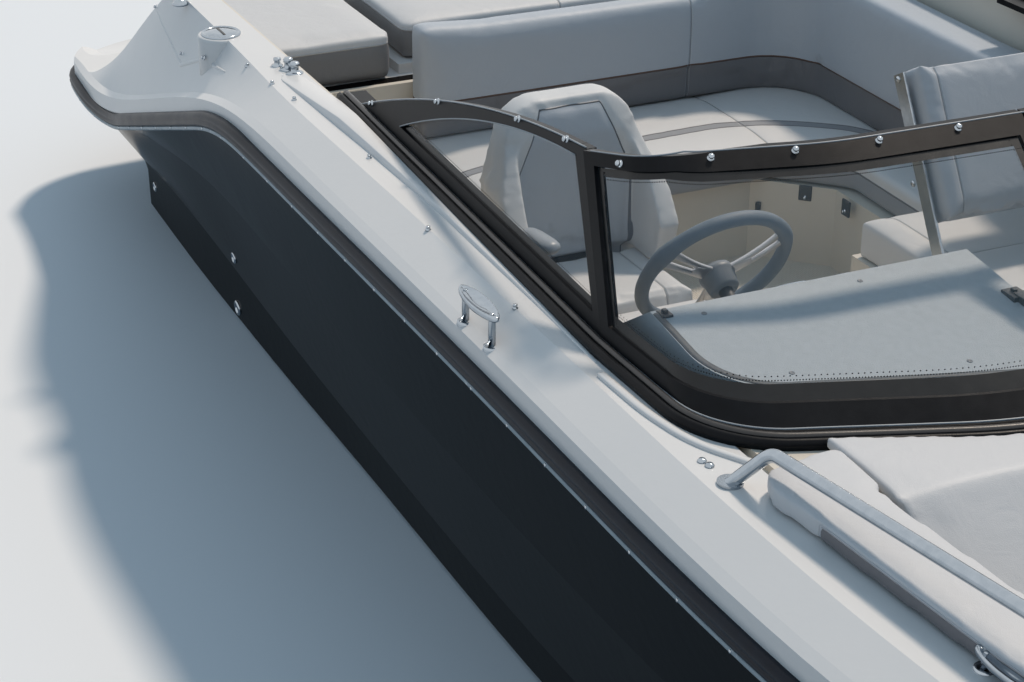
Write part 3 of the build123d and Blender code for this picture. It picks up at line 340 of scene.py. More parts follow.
# colour, second colour, size of the drift between them, roughness from and to, grain, and what else differs
looks = {
    "hullBlack": ((0.005, 0.0045, 0.0045), (0.008, 0.007, 0.0065), 1.5, (0.12, 0.20), ("noise", 26, 0.0003),
                  dict(specular=0.025)),
    "deckWhite": ((0.72, 0.71, 0.70), (0.69, 0.685, 0.68), 2.5, (0.26, 0.38), ("noise", 60, 0.0002),
                  dict(coat=0.15)),
    "railNavy": ((0.004, 0.008, 0.015), (0.007, 0.013, 0.023), 20, (0.30, 0.45), ("noise", 400, 0.0002),
                 dict(specular=0.15, wear=((0.03, 0.045, 0.06), 60, 0.70))),
    # the rub rail's foot strip: pale, tinted blue-grey as a painted reflection of the sky, with paler patches
    # where a fine noise peaks
    "railStripPaintedSky": ((0.30, 0.37, 0.41), (0.22, 0.29, 0.34), 24, (0.35, 0.5), ("noise", 300, 0.0002),
                  dict(wear=((0.70, 0.70, 0.68), 34, 0.62))),
    "foamBeige": ((0.46, 0.42, 0.36), (0.50, 0.46, 0.39), 30, (0.8, 0.9), ("noise", 900, 0.0004), {}),
    "linerBeige": ((0.68, 0.63, 0.55), (0.64, 0.59, 0.51), 4, (0.3, 0.45), ("noise", 80, 0.0002),
                   dict(coat=0.15)),
    "dashGrey": ((0.44, 0.475, 0.50), (0.49, 0.525, 0.55), 60, (0.6, 0.72), ("cells", 520, 0.0006),
                 dict(specular=0.3)),
    "dashEdge": ((0.05, 0.06, 0.07), (0.08, 0.09, 0.10), 30, (0.5, 0.6), ("noise", 500, 0.0002), {}),
    "frameBlack": ((0.003, 0.004, 0.006), (0.006, 0.0075, 0.010), 30, (0.28, 0.40), ("noise", 500, 0.0002),
                   dict(specular=0.11, wear=((0.02, 0.021, 0.024), 80, 0.7))),
    "fritBlack": ((0.006, 0.008, 0.010), (0.010, 0.012, 0.014), 30, (0.2, 0.3), ("noise", 500, 0.0001),
                  dict(specular=0.3)),
    "trackDark": ((0.016, 0.017, 0.019), (0.026, 0.027, 0.03), 30, (0.3, 0.42), ("noise", 500, 0.0002), {}),
    # grey for painted highlight lines on the windshield's frames, and for the dials' marks
    "highlightAndDialGrey": ((0.33, 0.36, 0.39), (0.27, 0.30, 0.33), 20, (0.3, 0.42), ("noise", 500, 0.0001), {}),
    # stainless: the blue tint of its colour is a painted reflection of the sky
    "stainless": ((0.40, 0.45, 0.50), (0.33, 0.38, 0.43), 40, (0.08, 0.2), ("noise", 300, 0.00005),
                  dict(metal=1.0)),
    "wheelSilver": ((0.55, 0.56, 0.58), (0.48, 0.49, 0.51), 40, (0.25, 0.4), ("noise", 600, 0.0001),
                    dict(metal=0.9)),
    "wheelGrip": ((0.13, 0.165, 0.20), (0.17, 0.205, 0.24), 50, (0.45, 0.58), ("cells", 700, 0.0003),
                  dict(specular=0.4)),
    "leverBlack": ((0.03, 0.035, 0.04), (0.05, 0.055, 0.06), 30, (0.35, 0.5), ("noise", 700, 0.0002), {}),
    "hubGrey": ((0.16, 0.18, 0.20), (0.20, 0.22, 0.24), 40, (0.4, 0.5), ("noise", 600, 0.0002), {}),
    "leverGrey": ((0.24, 0.27, 0.30), (0.30, 0.33, 0.36), 30, (0.3, 0.42), ("noise", 700, 0.0002), {}),
    "pedestalAlloy": ((0.5, 0.5, 0.5), (0.42, 0.42, 0.43), 30, (0.35, 0.5), ("noise", 400, 0.0001),
                      dict(metal=0.9)),
    "driveBlack": ((0.02, 0.021, 0.023), (0.032, 0.033, 0.035), 9, (0.3, 0.5), ("noise", 200, 0.0002),
                   dict(coat=0.2, wear=((0.09, 0.09, 0.09), 50, 0.68))),
    "propellerSteel": ((0.6, 0.61, 0.63), (0.5, 0.51, 0.53), 20, (0.15, 0.3), ("noise", 200, 0.0001),
                       dict(metal=1.0)),
    "engineGrey": ((0.12, 0.12, 0.13), (0.16, 0.16, 0.17), 9, (0.5, 0.7), ("noise", 200, 0.0005), {}),
    "tintedGlass": ((0.10, 0.18, 0.24), (0.08, 0.15, 0.20), 2, (0.03, 0.06), None,
                    dict(alpha=0.07, specular=0.6)),
    "speakerBlack": ((0.02, 0.025, 0.03), (0.03, 0.036, 0.044), 40, (0.5, 0.65), ("noise", 600, 0.0002), {}),
}
surfaces = {name: finish(name, *columns, **rest) for name, (*columns, rest) in looks.items()}
slots = {"railNavy": "rail_navy", "railStripPaintedSky": "rail_navy", "deckWhite": "deck_white", "dashEdge": "dash_grey",
         "stainless": "stainless", "wheelSilver": "wheel_silver"}
slots |= dict.fromkeys(("frameBlack", "fritBlack", "trackDark", "highlightAndDialGrey"), "frame_black")
slots |= dict.fromkeys(("wheelGrip", "leverBlack", "leverGrey", "hubGrey", "speakerBlack"), "lever_black")

vinyls = {
    "padLight": dict(upper=(0.60, 0.60, 0.605), lower=(0.20, 0.20, 0.205), piping=(0.55, 0.55, 0.55)),
    "backLight": dict(upper=(0.45, 0.49, 0.54), lower=(0.17, 0.17, 0.18), piping=(0.10, 0.06, 0.045)),
    "seatLight": dict(upper=(0.66, 0.655, 0.65), lower=(0.30, 0.31, 0.33), piping=(0.16, 0.16, 0.17)),
    "helmGrey": dict(upper=(0.47, 0.50, 0.54), lower=(0.66, 0.66, 0.66), piping=(0.16, 0.17, 0.19),
                     pipeWidth=0.0016),
    "bolsterWhite": dict(upper=(0.68, 0.67, 0.66), lower=(0.50, 0.48, 0.45), piping=(0.20, 0.19, 0.18),
                         pipeWidth=0.0016),
    "bowGrey": dict(upper=(0.62, 0.62, 0.63), lower=(0.17, 0.165, 0.175), piping=(0.60, 0.60, 0.62)),
}
for name, look in vinyls.items():
    surfaces[name] = vinyl(name, **look)


def soleFinish(base, waves=420.0, top=0.13, depth=0.0012):
    # the liner's gelcoat with a raised non-slip diamond on what lies flat at the sole, under top
    material, tree, shader, place = openMaterial("linerNonSlip", base)
    x, y, z = addNode(tree, "ShaderNodeSeparateXYZ", Vector=place).outputs
    a, b = (maths(tree, "SINE", maths(tree, "MULTIPLY", maths(tree, way, x, y), waves))
            for way in ("ADD", "SUBTRACT"))
    height = maths(tree, "MULTIPLY", maths(tree, "MULTIPLY", a, b), maths(tree, "LESS_THAN", z, top))
    bumped(tree, shader, height, depth)
    return material


def plankFinish(base, pitch, line):
    # grooves along the boat, pitch apart, cut into the foam pad and darker than it
    material, tree, shader, place = openMaterial("foamPlanks", base)
    x = addNode(tree, "ShaderNodeSeparateXYZ", Vector=place).outputs[0]
    saw = maths(tree, "PINGPONG", maths(tree, "ADD", x, 10.0), pitch / 2)
    was = shader.inputs["Base Color"].links[0].from_socket
    tree.links.new(mixed(tree, maths(tree, "LESS_THAN", saw, line / 2), was, (0.16, 0.14, 0.12)),
                   shader.inputs["Base Color"])
    return material


surfaces["linerNonSlip"] = soleFinish(surfaces["linerBeige"])
surfaces["foamPlanks"] = plankFinish(surfaces["foamBeige"], 0.11, 0.005)

nodeLooks = {
    "hullBlack": ["hull"],
    "deckWhite": ["deck", "engine_hatch"],
    "foamPlanks": ["platform_pad"],
    "linerNonSlip": ["cockpit_liner", "bow_liner", "floor_locker_lid"],
    "linerBeige": ["lounge_base", "helm_console", "port_console", "glovebox_door", "port_seat_base"],
    "dashGrey": ["helm_dash", "port_dash", "helm_pod"],
    "frameBlack": ["windshield_frames", "windshield_door_frame"],
    "stainless": ["port_backrest_arms", "grab_rails", "bow_eye", "stern_eyes", "trim_ram_rods"],
    "leverBlack": ["steering_column", "helm_seat_pan"],
    "pedestalAlloy": ["helm_pedestal"],
    "driveBlack": ["drive_housing", "drive_ring", "drive_leg", "trim_ram_barrels"],
    "propellerSteel": ["propeller"],
    "engineGrey": ["engine"],
    "tintedGlass": ["windshield_glass", "windshield_door_glass"],
}
for look, names in nodeLooks.items():
    for name in names:
        nodes[name].data.materials.clear()
        nodes[name].data.materials.append(surfaces[look])
print("materials assigned")


# Cushions and pads. Each starts from its node's own solid, is remeshed, blown up as cloth, and seamed.
# band: signed height over the colour change; seams: signed distances. Each is a plane, (normal, distance), or a
# function of the points

def insertBand(points):
    # below zero on the cushions' foot and on a grey insert that follows the seat round its corner
    line = evenLine(roundedLine([(1.145, -0.60), (1.110, 0.56), (1.34, 0.862), (2.10, 0.862)],
                                (0.5, 0.25)), 160)
    away = np.min(np.linalg.norm(points[:, None, :2] - line[None], axis=2), axis=1)
    return np.minimum(points[:, 2] - 0.400, away - 0.019)


def bolsterBand(points):
    # pale on top, and dark aft of the corner
    return np.maximum(points[:, 2] - 0.988, 4.02 - points[:, 0])


def fromHelm(points):
    # how far a point lies to either side of the helm seat's middle
    return np.abs(points[:, 1] + 0.615)


def helmBackBand(points):
    # the grey panel widens downwards and stops under the top edge
    panel = np.clip(0.095 + 0.42 * (1.0 - points[:, 2]), 0.02, 0.150)
    return np.minimum(panel - fromHelm(points), 1.035 - points[:, 2])


def helmRollBand(points):
    # pale in the middle of the roll
    return 0.178 - fromHelm(points)


padSim = {"frames": 20, "pressure": 4.0, "quality": 4, "inset": 0.003, "groove": 0.004, "grooveWidth": 0.010}
hardPads = {
    "mainSunpad": dict(node="sunpad_main", body="hatch", voxel=0.018, look="padLight", cap=0.014,
                       band=((0, 0, 1), 0.722), seams=[((0, 1, 0), 0.125)]),
    "sideSunpads": dict(node="sunpads_side", body="boat", voxel=0.018, look="padLight", cap=0.012,
                        band=((0, 0, 1), 0.712)),
    "loungeCushions": dict(node="lounge_cushions", body="boat", voxel=0.018, look="seatLight", cap=0.012,
                           band=insertBand, seams=[((0, 1, 0), 0.517), ((0, 1, 0), 0.03)]),
    "loungeBackrests": dict(node="lounge_backrests", body="boat", voxel=0.018, look="backLight", cap=0.010,
                            band=((0, 0, 1), 0.56), seams=[((0, 1, 0), 0.47)]),
    "helmCushion": dict(node="helm_seat_cushion", body="helm_seat", voxel=0.009, look="seatLight", cap=0.010,
                        seams=[((0, 1, 0), -0.735), ((0, 1, 0), -0.495)]),
    "companionCushion": dict(node="port_seat_cushion", body="boat", voxel=0.014, look="seatLight", cap=0.012,
                             seams=[((1, 0, 0), 2.33), ((1, 0, 0), 2.60), ((0, 1, 0), 0.45)]),
    "companionBackrest": dict(node="port_backrest", body="companion_backrest", voxel=0.011, look="helmGrey",
                              cap=0.010, seams=[((0, 1, 0), 0.415), ((0, 1, 0), 0.84)]),
    "bowCushions": dict(node="bow_cushions", body="boat", voxel=0.020, look="padLight", cap=0.012,
                        band=((0, 0, 1), 0.50), seams=[((1, 0, 0), 5.0)]),
    "bowBackrests": dict(node="bow_backrests", body="boat", voxel=0.0125, look="bowGrey", cap=0.005, round=7,
                         finer=0),
    "bowBolsters": dict(node="bow_bolsters", body="boat", voxel=0.009, look="bowGrey", cap=0.004, round=6,
                        band=bolsterBand),
    "helmBolster": dict(node="helm_bolster", body="bolster", voxel=0.008, look="bolsterWhite", cap=0.006,
                        round=2, form="roll", band=helmRollBand),
    "helmBack": dict(node="helm_seat_back", body="helm_seat", voxel=0.009, look="helmGrey", cap=0.008, round=10,
                     band=helmBackBand),
}


def readVertices(mesh, key):
    # an array of the vertices' "co" or "normal"
    flat = np.empty(len(mesh.vertices) * 3)
    mesh.vertices.foreach_get(key, flat)
    return flat.reshape(-1, 3)


def settled(piece):
    # the piece's mesh with its modifiers applied
    graph = bpy.context.evaluated_depsgraph_get()
    graph.update()
    mesh = bpy.data.meshes.new_from_object(piece.evaluated_get(graph))
    piece.modifiers.clear()
    old, piece.data = piece.data, mesh
    bpy.data.meshes.remove(old)
    return mesh


def rollOf(node):
    # a roll as long as the node's box: its section is a half circle on two uprights, its ends a little domed
    low, high = (np.array(corner, float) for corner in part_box(node))
    half, middle = (high[0] - low[0]) / 2 - 0.003, (high[0] + low[0]) / 2
    angle = np.linspace(0, np.pi, 25)
    arc = np.stack([np.cos(angle) * half, high[2] - 0.004 - half + np.sin(angle) * half], 1)
    section = np.vstack([[half, low[2] + 0.004], arc, [-half, low[2] + 0.004]])
    heart = np.array([0.0, (low[2] + high[2]) / 2])
    rows = []
    for y, size in [(low[1] + 0.003, 0.78), (low[1] + 0.006, 0.93), (low[1] + 0.013, 1.0),
                    (high[1] - 0.013, 1.0), (high[1] - 0.006, 0.93), (high[1] - 0.003, 0.78)]:
        ring = heart + (section - heart) * size
        rows.append(np.column_stack([middle + ring[:, 0], np.full(len(ring), y), ring[:, 1]]))
    mesh = bpy.data.meshes.new("roll")
    mesh.from_pydata(np.vstack(rows).tolist(), [], stackFaces(len(rows), len(section)))
    return mesh


def startPad(name, spec):
    # merged copy of the node's mesh, drawn in a little, remeshed to even squares and rounded at its edges
    mesh = rollOf(spec["node"]) if spec.get("form") == "roll" else nodes[spec["node"]].data.copy()
    mesh.name = name
    mesh.materials.clear()
    if "custom_normal" in mesh.attributes:
        mesh.attributes.remove(mesh.attributes["custom_normal"])
    piece = bpy.data.objects.new(name, mesh)
    bpy.context.scene.collection.objects.link(piece)
    weld = piece.modifiers.new("weld", "WELD")
    weld.merge_threshold = 0.0002
    remesh = piece.modifiers.new("squares", "REMESH")
    remesh.mode, remesh.voxel_size = "VOXEL", spec["voxel"]
    rounding = piece.modifiers.new("round", "SMOOTH")
    rounding.factor, rounding.iterations = 0.5, spec.get("round", 5)
    inset = piece.modifiers.new("inset", "DISPLACE")
    inset.strength, inset.mid_level = -padSim["inset"], 0.0
    settled(piece)
    cloth = piece.modifiers.new("fill", "CLOTH")
    cloth.settings.quality = padSim["quality"]
    cloth.settings.use_pressure = True
    cloth.settings.uniform_pressure_force = padSim["pressure"]
    cloth.settings.effector_weights.gravity = 0
    cloth.collision_settings.use_collision = False
    cloth.point_cache.frame_end = padSim["frames"]
    return piece


def fieldOf(points, rule):
    # signed distance from a plane, or what a function says
    return rule(points) if callable(rule) else points @ np.array(rule[0], float) - rule[1]


def closePad(name, piece, spec, rest):
    # capped move from the simulation, no swelling downwards, grooves along seams, the material's attributes
    mesh = settled(piece)
    move = readVertices(mesh, "co") - rest
    far = np.linalg.norm(move, axis=1)
    move *= np.minimum(1, spec["cap"] / np.maximum(far, 1e-9))[:, None]
    flatFoot = readVertices(mesh, "normal")[:, 2] < -0.7
    move[flatFoot] = 0
    rest = rest + move
    mesh = piece.data
    mesh.vertices.foreach_set("co", rest.ravel())
    mesh.update()
    normal = readVertices(mesh, "normal")
    plain = np.ones(len(rest))
    band = fieldOf(rest, spec["band"]) if "band" in spec else plain
    fields = [fieldOf(rest, rule) for rule in spec.get("seams", [])]
    fields += [plain] * (3 - len(fields))
    nearest = np.min(np.abs(fields + [band]), axis=0)
    rest = rest - normal * (padSim["groove"] * np.exp(-(nearest / padSim["grooveWidth"]) ** 2))[:, None]
    mesh.vertices.foreach_set("co", rest.ravel())
    for key, values in zip(("band", "seamA", "seamB", "seamC"), [band, *fields]):
        layer = mesh.attributes.new(key, "FLOAT", "POINT")
        layer.data.foreach_set("value", np.asarray(values, np.float32))
    mesh.materials.append(surfaces[spec["look"]])
    mesh.polygons.foreach_set("use_smooth", np.ones(len(mesh.polygons), bool))
    mesh.update()
    finer = piece.modifiers.new("finer", "SUBSURF")
    finer.levels = finer.render_levels = spec.get("finer", 1)
    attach(piece, spec["body"])
    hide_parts(spec["node"])


pads, rests = {}, {}
for name, spec in hardPads.items():
    pads[name] = startPad(name, spec)
    rests[name] = readVertices(pads[name].data, "co")
for step in range(1, padSim["frames"] + 1):
    bpy.context.scene.frame_set(step)
for name, spec in hardPads.items():
    closePad(name, pads[name], spec, rests[name])
bpy.context.scene.frame_set(1)
print("pads filled:", sum(len(p.data.polygons) for p in pads.values()), "faces")


# Windshield trim: ribbed track at its foot, light beads that paint highlights, black printed borders with dots,
# and snap studs

deckTop = 0.955
frontCount = 140
shieldTrim = {"height": 0.365, "trackRise": 0.016, "trackOut": 0.0125, "highlightRadius": 0.0022,
              "dotRadius": 0.0016, "glassFace": 0.0038, "sideLean": 0.2274, "railZ": 1.3205, "railFoot": 1.270,
              "windowFoot": 1.0032, "windowHead": 1.275, "aftFoot": (1.745, -0.9902),
              "doorFoot": (3.8795, -0.282), "sideEnd": 3.3, "divider": (3.276, 0.28),
              "doorPost": (0.299, 0.115), "sidePost": (3.168, 0.214)}
footCorners = [(3.240, -1.058), (3.655, -1.052), (3.835, -0.560), (3.882, -0.267)]
topCorners = [(2.960, -0.975), (3.180, -0.940), (3.260, -0.600), (3.272, -0.152)]
footRun, topRun = roundedLine(footCorners, (0.2, 0.9), 60), roundedLine(topCorners, (0.15, 0.7), 60)


def shieldRow(z):
    # the front pane's centre line at a height, x and y: shared out between the foot's line and the top's
    share = (z - deckTop) / shieldTrim["height"]
    return footRun * (1 - share) + topRun * share


def shieldSide(x, z):
    # the side pane's y at a place: it leans in with height and widens a little going forward
    return -0.990 - (x - 1.74) * 0.068 / 1.51 + shieldTrim["sideLean"] * (z - deckTop)


def sideFace(x, z):
    # a point or row on the side pane's outer face
    return np.column_stack([x, shieldSide(x, z) - shieldTrim["glassFace"], z])


def arcThrough(a, b, c, count):
    # a circular arc through three points of the side view
    a, b, c = (np.array(p, float) for p in (a, b, c))
    centre = np.linalg.solve(2 * np.array([b - a, c - a]), [b @ b - a @ a, c @ c - a @ a])
    turn = np.unwrap([math.atan2(*(p - centre)[::-1]) for p in (a, b, c)])
    angle = np.linspace(turn[0], turn[2], count)
    return centre + np.linalg.norm(a - centre) * np.stack([np.cos(angle), np.sin(angle)], 1)


def outward(line):
    # unit vectors square to a line, x and y, pointing to its right
    way = np.gradient(line[:, :2], axis=0)
    way /= np.linalg.norm(way, axis=1)[:, None]
    return np.stack([way[:, 1], -way[:, 0]], 1)


def frontLean(across, at):
    # how far the front pane leans in for each metre of height, at points of its run
    return np.einsum("ij,ij->i", (footRun - topRun)[at], across) / shieldTrim["height"]


def makeTrack():
    # a lip and a rib carried along the windshield's foot, round both corners, and a bead above them: a thin
    # grey rod that is a painted highlight
    foot = roundedLine([shieldTrim["aftFoot"], *footCorners[:3], shieldTrim["doorFoot"]], (2.0, 0.2, 0.9), 40)
    base = evenLine(foot, 150)
    path = np.column_stack([base, np.full(len(base), deckTop)])
    lip = mm((40.5, -0.5), (41.5, 10), (38.5, 18.5), (32, 21.5), (26.5, 18.5), (25.5, 12))
    rib = mm((24.5, 15), (23.5, 20.5), (19, 24.5), (12.5, 24.5), (10.5, 20), (10.5, 15))
    joined("windshieldTrackLip", bothSides(*sweepPart(path, lip)), "frameBlack")
    joined("windshieldTrackRib", bothSides(*sweepPart(path, rib)), "trackDark")
    # the bead, a painted highlight line, stands where the leaning wall meets the rib; the lean is evened out
    # over nine points
    across = outward(base)
    onFront = np.searchsorted(footRun[:, 0], base[:, 0]).clip(0, len(footRun) - 1)
    lean = np.where(base[:, 0] > shieldTrim["sideEnd"], frontLean(across, onFront), shieldTrim["sideLean"])
    lean = np.convolve(np.pad(lean, 4, "edge"), np.ones(9) / 9, "valid")
    wall = base + across * (shieldTrim["trackOut"] + 0.002 - lean * shieldTrim["trackRise"])[:, None]
    bead = np.column_stack([wall, np.full(len(wall), deckTop + 0.020)])
    joined("windshieldTrackPaintedHighlight", bothSides(*sweepPart(bead, circleProfile(shieldTrim["highlightRadius"], 8))),
           "highlightAndDialGrey")


def makeRailHighlights():
    # thin grey rods along the top rail and under the side rail: painted highlights along the rail's edges
    side = arcThrough((1.80, 0.957), (2.375, 1.1545), (2.985, 1.2680), 60)
    sideTop = np.column_stack([side[:, 0], shieldSide(*side.T) - 0.009, side[:, 1] + 0.001])
    railZ = shieldTrim["railZ"]
    z = np.interp(np.linspace(0, 1, frontCount), [0, 0.26, 1], [shieldTrim["railFoot"], railZ, railZ])
    row, foot = evenLine(topRun, frontCount), evenLine(footRun, frontCount)
    share = np.clip((railZ - z) / shieldTrim["height"], 0, 1)[:, None]
    front = np.column_stack([row + outward(row) * 0.008 + (foot - row) * share, z])
    under = arcThrough((2.088, 1.003), (2.501, 1.158), (2.954, 1.242), 50)
    sideLow = np.column_stack([under[:, 0], shieldSide(*under.T) - 0.0125, under[:, 1] + 0.001])
    parts = []
    for path, radius in ((sideTop, 0.002), (front[3:], 0.002), (sideLow, 0.0016)):
        parts += bothSides(*sweepPart(path, circleProfile(radius, 8)))
    joined("windshieldRailPaintedHighlights", parts, "highlightAndDialGrey")


def glassRow(z, count, inset=0.0):
    # along the front window at a height, from the divider to the door post, drawn in at both ends
    row, rise = shieldRow(z), (z - deckTop) / shieldTrim["height"]
    (start, back), (end, over) = shieldTrim["divider"], shieldTrim["doorPost"]
    row = row[(row[:, 0] >= start - rise * back) & (row[:, 1] <= rise * over - end)]
    length = np.linalg.norm(np.diff(row, axis=0), axis=1).sum()
    fine = evenLine(row, 400)
    cut = int(round(400 * inset / length))
    fine = evenLine(fine[cut:400 - cut], count)
    return np.column_stack([fine + outward(fine) * shieldTrim["glassFace"], np.full(count, z)])


def windowTop(x):
    # the height of the windows' upper edge
    return np.interp(x, [2.96, 2.99, 3.22], [1.238, 1.242, 1.2935])


def makeBorders():
    # printed borders: strips just proud of the glass, with rows of dots along their inner edges
    foot, head = shieldTrim["windowFoot"], shieldTrim["windowHead"]
    strips = [np.stack([glassRow(foot, 160), glassRow(1.0235, 160)])]
    dots = [evenLine(glassRow(1.0275, 400), 190), evenLine(glassRow(1.0325, 400), 190)[1::2]]
    levels = np.linspace(foot, 1.30, 24)
    for end in (0, -1):
        edge, inner, dotted = (np.stack([glassRow(min(z, 1.29), 60, inset)[end] for z in levels])
                               for inset in (0.0, 0.016, 0.020))
        keep = levels < windowTop(edge[:, 0])
        strips.append(np.stack([edge[keep], inner[keep]]))
        dots.append(evenLine(dotted[keep], 46))
    # under the top rail, three rows: the border's edges and its dots
    row = glassRow(head, 150)
    shift = evenLine(topRun, 150) - evenLine(footRun, 150)
    high = []
    for down in (0.0005, 0.014, 0.018):
        top = windowTop(row[:, 0]) - down
        high.append(np.column_stack([row[:, :2] + shift * ((top - head) / shieldTrim["height"])[:, None], top]))
    strips.append(np.stack(high[:2]))
    dots.append(evenLine(high[2], 190))
    # the side window's foot and front borders
    x = np.linspace(2.10, 3.16, 90)
    base = np.stack([sideFace(x, np.full(90, z)) for z in (foot, 1.020)])
    base[1, :, 0] = np.linspace(2.13, 3.150, 90)
    strips.append(base)
    dots.append(evenLine(base[1] + [0, 0.001, 0.004], 170))
    z = np.linspace(foot, 1.236, 24)
    edge = shieldTrim["sidePost"][0] - (z - 1.003) * shieldTrim["sidePost"][1] / 0.239
    strips.append(np.stack([sideFace(edge, z), sideFace(edge - 0.014, z)]))
    dots.append(evenLine(sideFace(edge, z) - [0.018, 0, 0], 44))
    parts = []
    for strip in strips:
        parts += bothSides(strip.reshape(-1, 3), gridFaces(2, strip.shape[1]).tolist())
    joined("windshieldPrintedBorders", parts, "fritBlack")
    # each dot is a hexagon in the plane of its line and of the glass
    angle = np.linspace(0, 2 * np.pi, 6, endpoint=False)[None, :, None]
    parts = []
    for line in dots:
        way = np.gradient(line, axis=0)
        way /= np.linalg.norm(way, axis=1)[:, None]
        out = np.cross(way, np.array([0, 0, 1.0]))
        out /= np.maximum(np.linalg.norm(out, axis=1), 1e-6)[:, None]
        ring = way[:, None] * np.cos(angle) + np.cross(out, way)[:, None] * np.sin(angle)
        ring = line[:, None] + ring * shieldTrim["dotRadius"]
        parts += bothSides(ring.reshape(-1, 3), np.arange(len(line) * 6).reshape(-1, 6).tolist())
    joined("windshieldPrintedDots", parts, "fritBlack")


snapSpots = [(1.897, -0.988, 0.995), (2.267, -0.976, 1.123), (2.677, -0.972, 1.222), (2.904, -0.974, 1.258),
             (3.116, -0.967, 1.282), (3.215, -0.839, 1.312), (3.252, -0.674, 1.314), (3.272, -0.499, 1.314),
             (3.277, -0.317, 1.314)]


def makeSnaps():
    # chrome studs on the rail, each with a collar and a round head, square to the leaning pane
    profile = mm((0.1, -1), (8, -1), (8.2, 1.2), (5.2, 2), (4.2, 4.5), (6, 6), (6.2, 8), (4, 9.6), (0.1, 10))
    parts = []
    for x, y, z in snapSpots:
        out, lean = np.array([0.0, -1.0]), shieldTrim["sideLean"]
        if x > 3.0:
            row = shieldRow(z)
            near = int(np.argmin(np.linalg.norm(row - [x, y], axis=1)))
            out = outward(row)[near]
            lean = float(frontLean(out[None], [near])[0])
        axis = np.array([*out, lean]) / math.hypot(1, lean)
        at = np.array([x, y, z]) + np.array([*out, 0]) * 0.0118
        parts += bothSides(*turnedParts(profile, [at], axis, 14)[0])
    joined("windshieldSnapStuds", parts, "stainless")


makeTrack()
makeRailHighlights()
makeBorders()
makeSnaps()
print("windshield trimmed")


# Rub rail: a dark rubber body with a groove, and a light strip along its foot, its blue-grey a painted
# reflection of the sky

rail = {"sheer": [(-0.98, 0.398), (0.15, 0.398), (1.45, 0.86), (4.4, 0.86), (6.3, 0.896)],
        "radii": (1.1, 1.1, 2.5), "count": 520, "screws": 96}
sheerRun = roundedLine(rail["sheer"], rail["radii"], 60)


def meshTree(name):
    # a node's mesh, ready for rays
    mesh = nodes[name].data
    return BVHTree.FromPolygons([v.co.copy() for v in mesh.vertices],
                                [tuple(p.vertices) for p in mesh.polygons])


def railPath(drop):
    # round the boat, drop below its sheer, found from outside on the rub rail's own face; closed, and
    # anticlockwise from above
    tree = meshTree("rub_rail")
    fan = np.linspace(-90, 90, 61)
    starts = [(4.4, a) for a in fan] + [(x, 90.0) for x in np.linspace(4.35, 0.35, 81)]
    starts += [(0.3, a) for a in np.linspace(90, 270, 97)] + [(x, -90.0) for x in np.linspace(0.35, 4.35, 81)]
    spots = []
    for x, angle in starts:
        way = Vector((math.cos(math.radians(angle)), math.sin(math.radians(angle)), 0))
        z, hit = 0.8, None
        for _ in range(4):
            found = tree.ray_cast(Vector((x, 0, z)) + way * 3, -way)[0]
            if found is not None and (found - Vector((x, 0, z))).dot(way) > 0.05:
                hit = found
            guess = hit.x if hit is not None else x + way.x
            z = float(np.interp(guess, sheerRun[:, 0], sheerRun[:, 1])) - drop
        if hit is not None:
            spots.append((hit.x, hit.y, z))
    spots = np.array(spots)
    step = np.linalg.norm(np.diff(spots, axis=0, append=spots[:1]), axis=1)
    return smoothLoop(spots[step > 0.012], rail["count"])


def makeRail():
    # two profiles carried round the boat, and screws at even steps
    path = railPath(0.012)
    # side points right of the way: outwards on an anticlockwise path. Up is measured from 12 mm under the sheer
    body = mm((-22, -26), (0, -26.5), (3.5, -22), (4.5, -14), (2, -10), (4.5, -6), (5, 1), (2, 9), (-5, 13),
              (-22, 13.5))
    strip = mm((-22, -37.5), (-2, -37.5), (1.5, -35), (2, -29), (-1, -26.2), (-22, -26.2))
    rubber = joined("rubRailBody", [sweepPart(path, body, closed=True)], "railNavy")
    # the foot strip's blue-grey is a painted reflection of the sky
    joined("rubRailFootStrip", [sweepPart(path, strip, closed=True)], "railStripPaintedSky")
    # screw heads along the strip
    spots = evenLine(np.vstack([path, path[:1]]), rail["screws"] + 1)
    way = np.gradient(spots, axis=0)[:-1]
    spots = spots[:-1]
    heads = []
    for at, (dx, dy, _) in zip(spots, way):
        out = np.array([dy, -dx, 0.0]) / math.hypot(dx, dy)
        heads += turnedParts(mm((0.3, -1), (4.2, -1), (3.6, 1.6), (0.3, 2.4)),
                             [at + out * 0.0015 + [0, 0, -0.032]], out, 8)
    joined("rubRailScrews", heads, "stainless")
    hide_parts("rub_rail")


makeRail()
print("rub rail built")


# Steering wheel: grip with thumb rests, three forked silver spokes, ribbed hub cap

wheel = {"hub": (2.91, -0.63, 0.91), "tilt": 28.8, "radius": 0.167, "grip": 0.0155, "forks": (30, 150, 270),
         "spokeFrom": 0.026, "spokeLength": 0.132, "spokeDrop": 0.018, "spokeHeight": 0.006,
         "web": (-0.0225, -0.0160)}
tilt = math.radians(wheel["tilt"])
wheelFrame = np.array([[0, 1, 0], [math.sin(tilt), 0, math.cos(tilt)], [-math.cos(tilt), 0, math.sin(tilt)]])


def onWheel(points):
    # from the wheel's own plane (across, up, towards the driver) to the boat
    return np.asarray(points, float) @ wheelFrame + np.array(wheel["hub"])


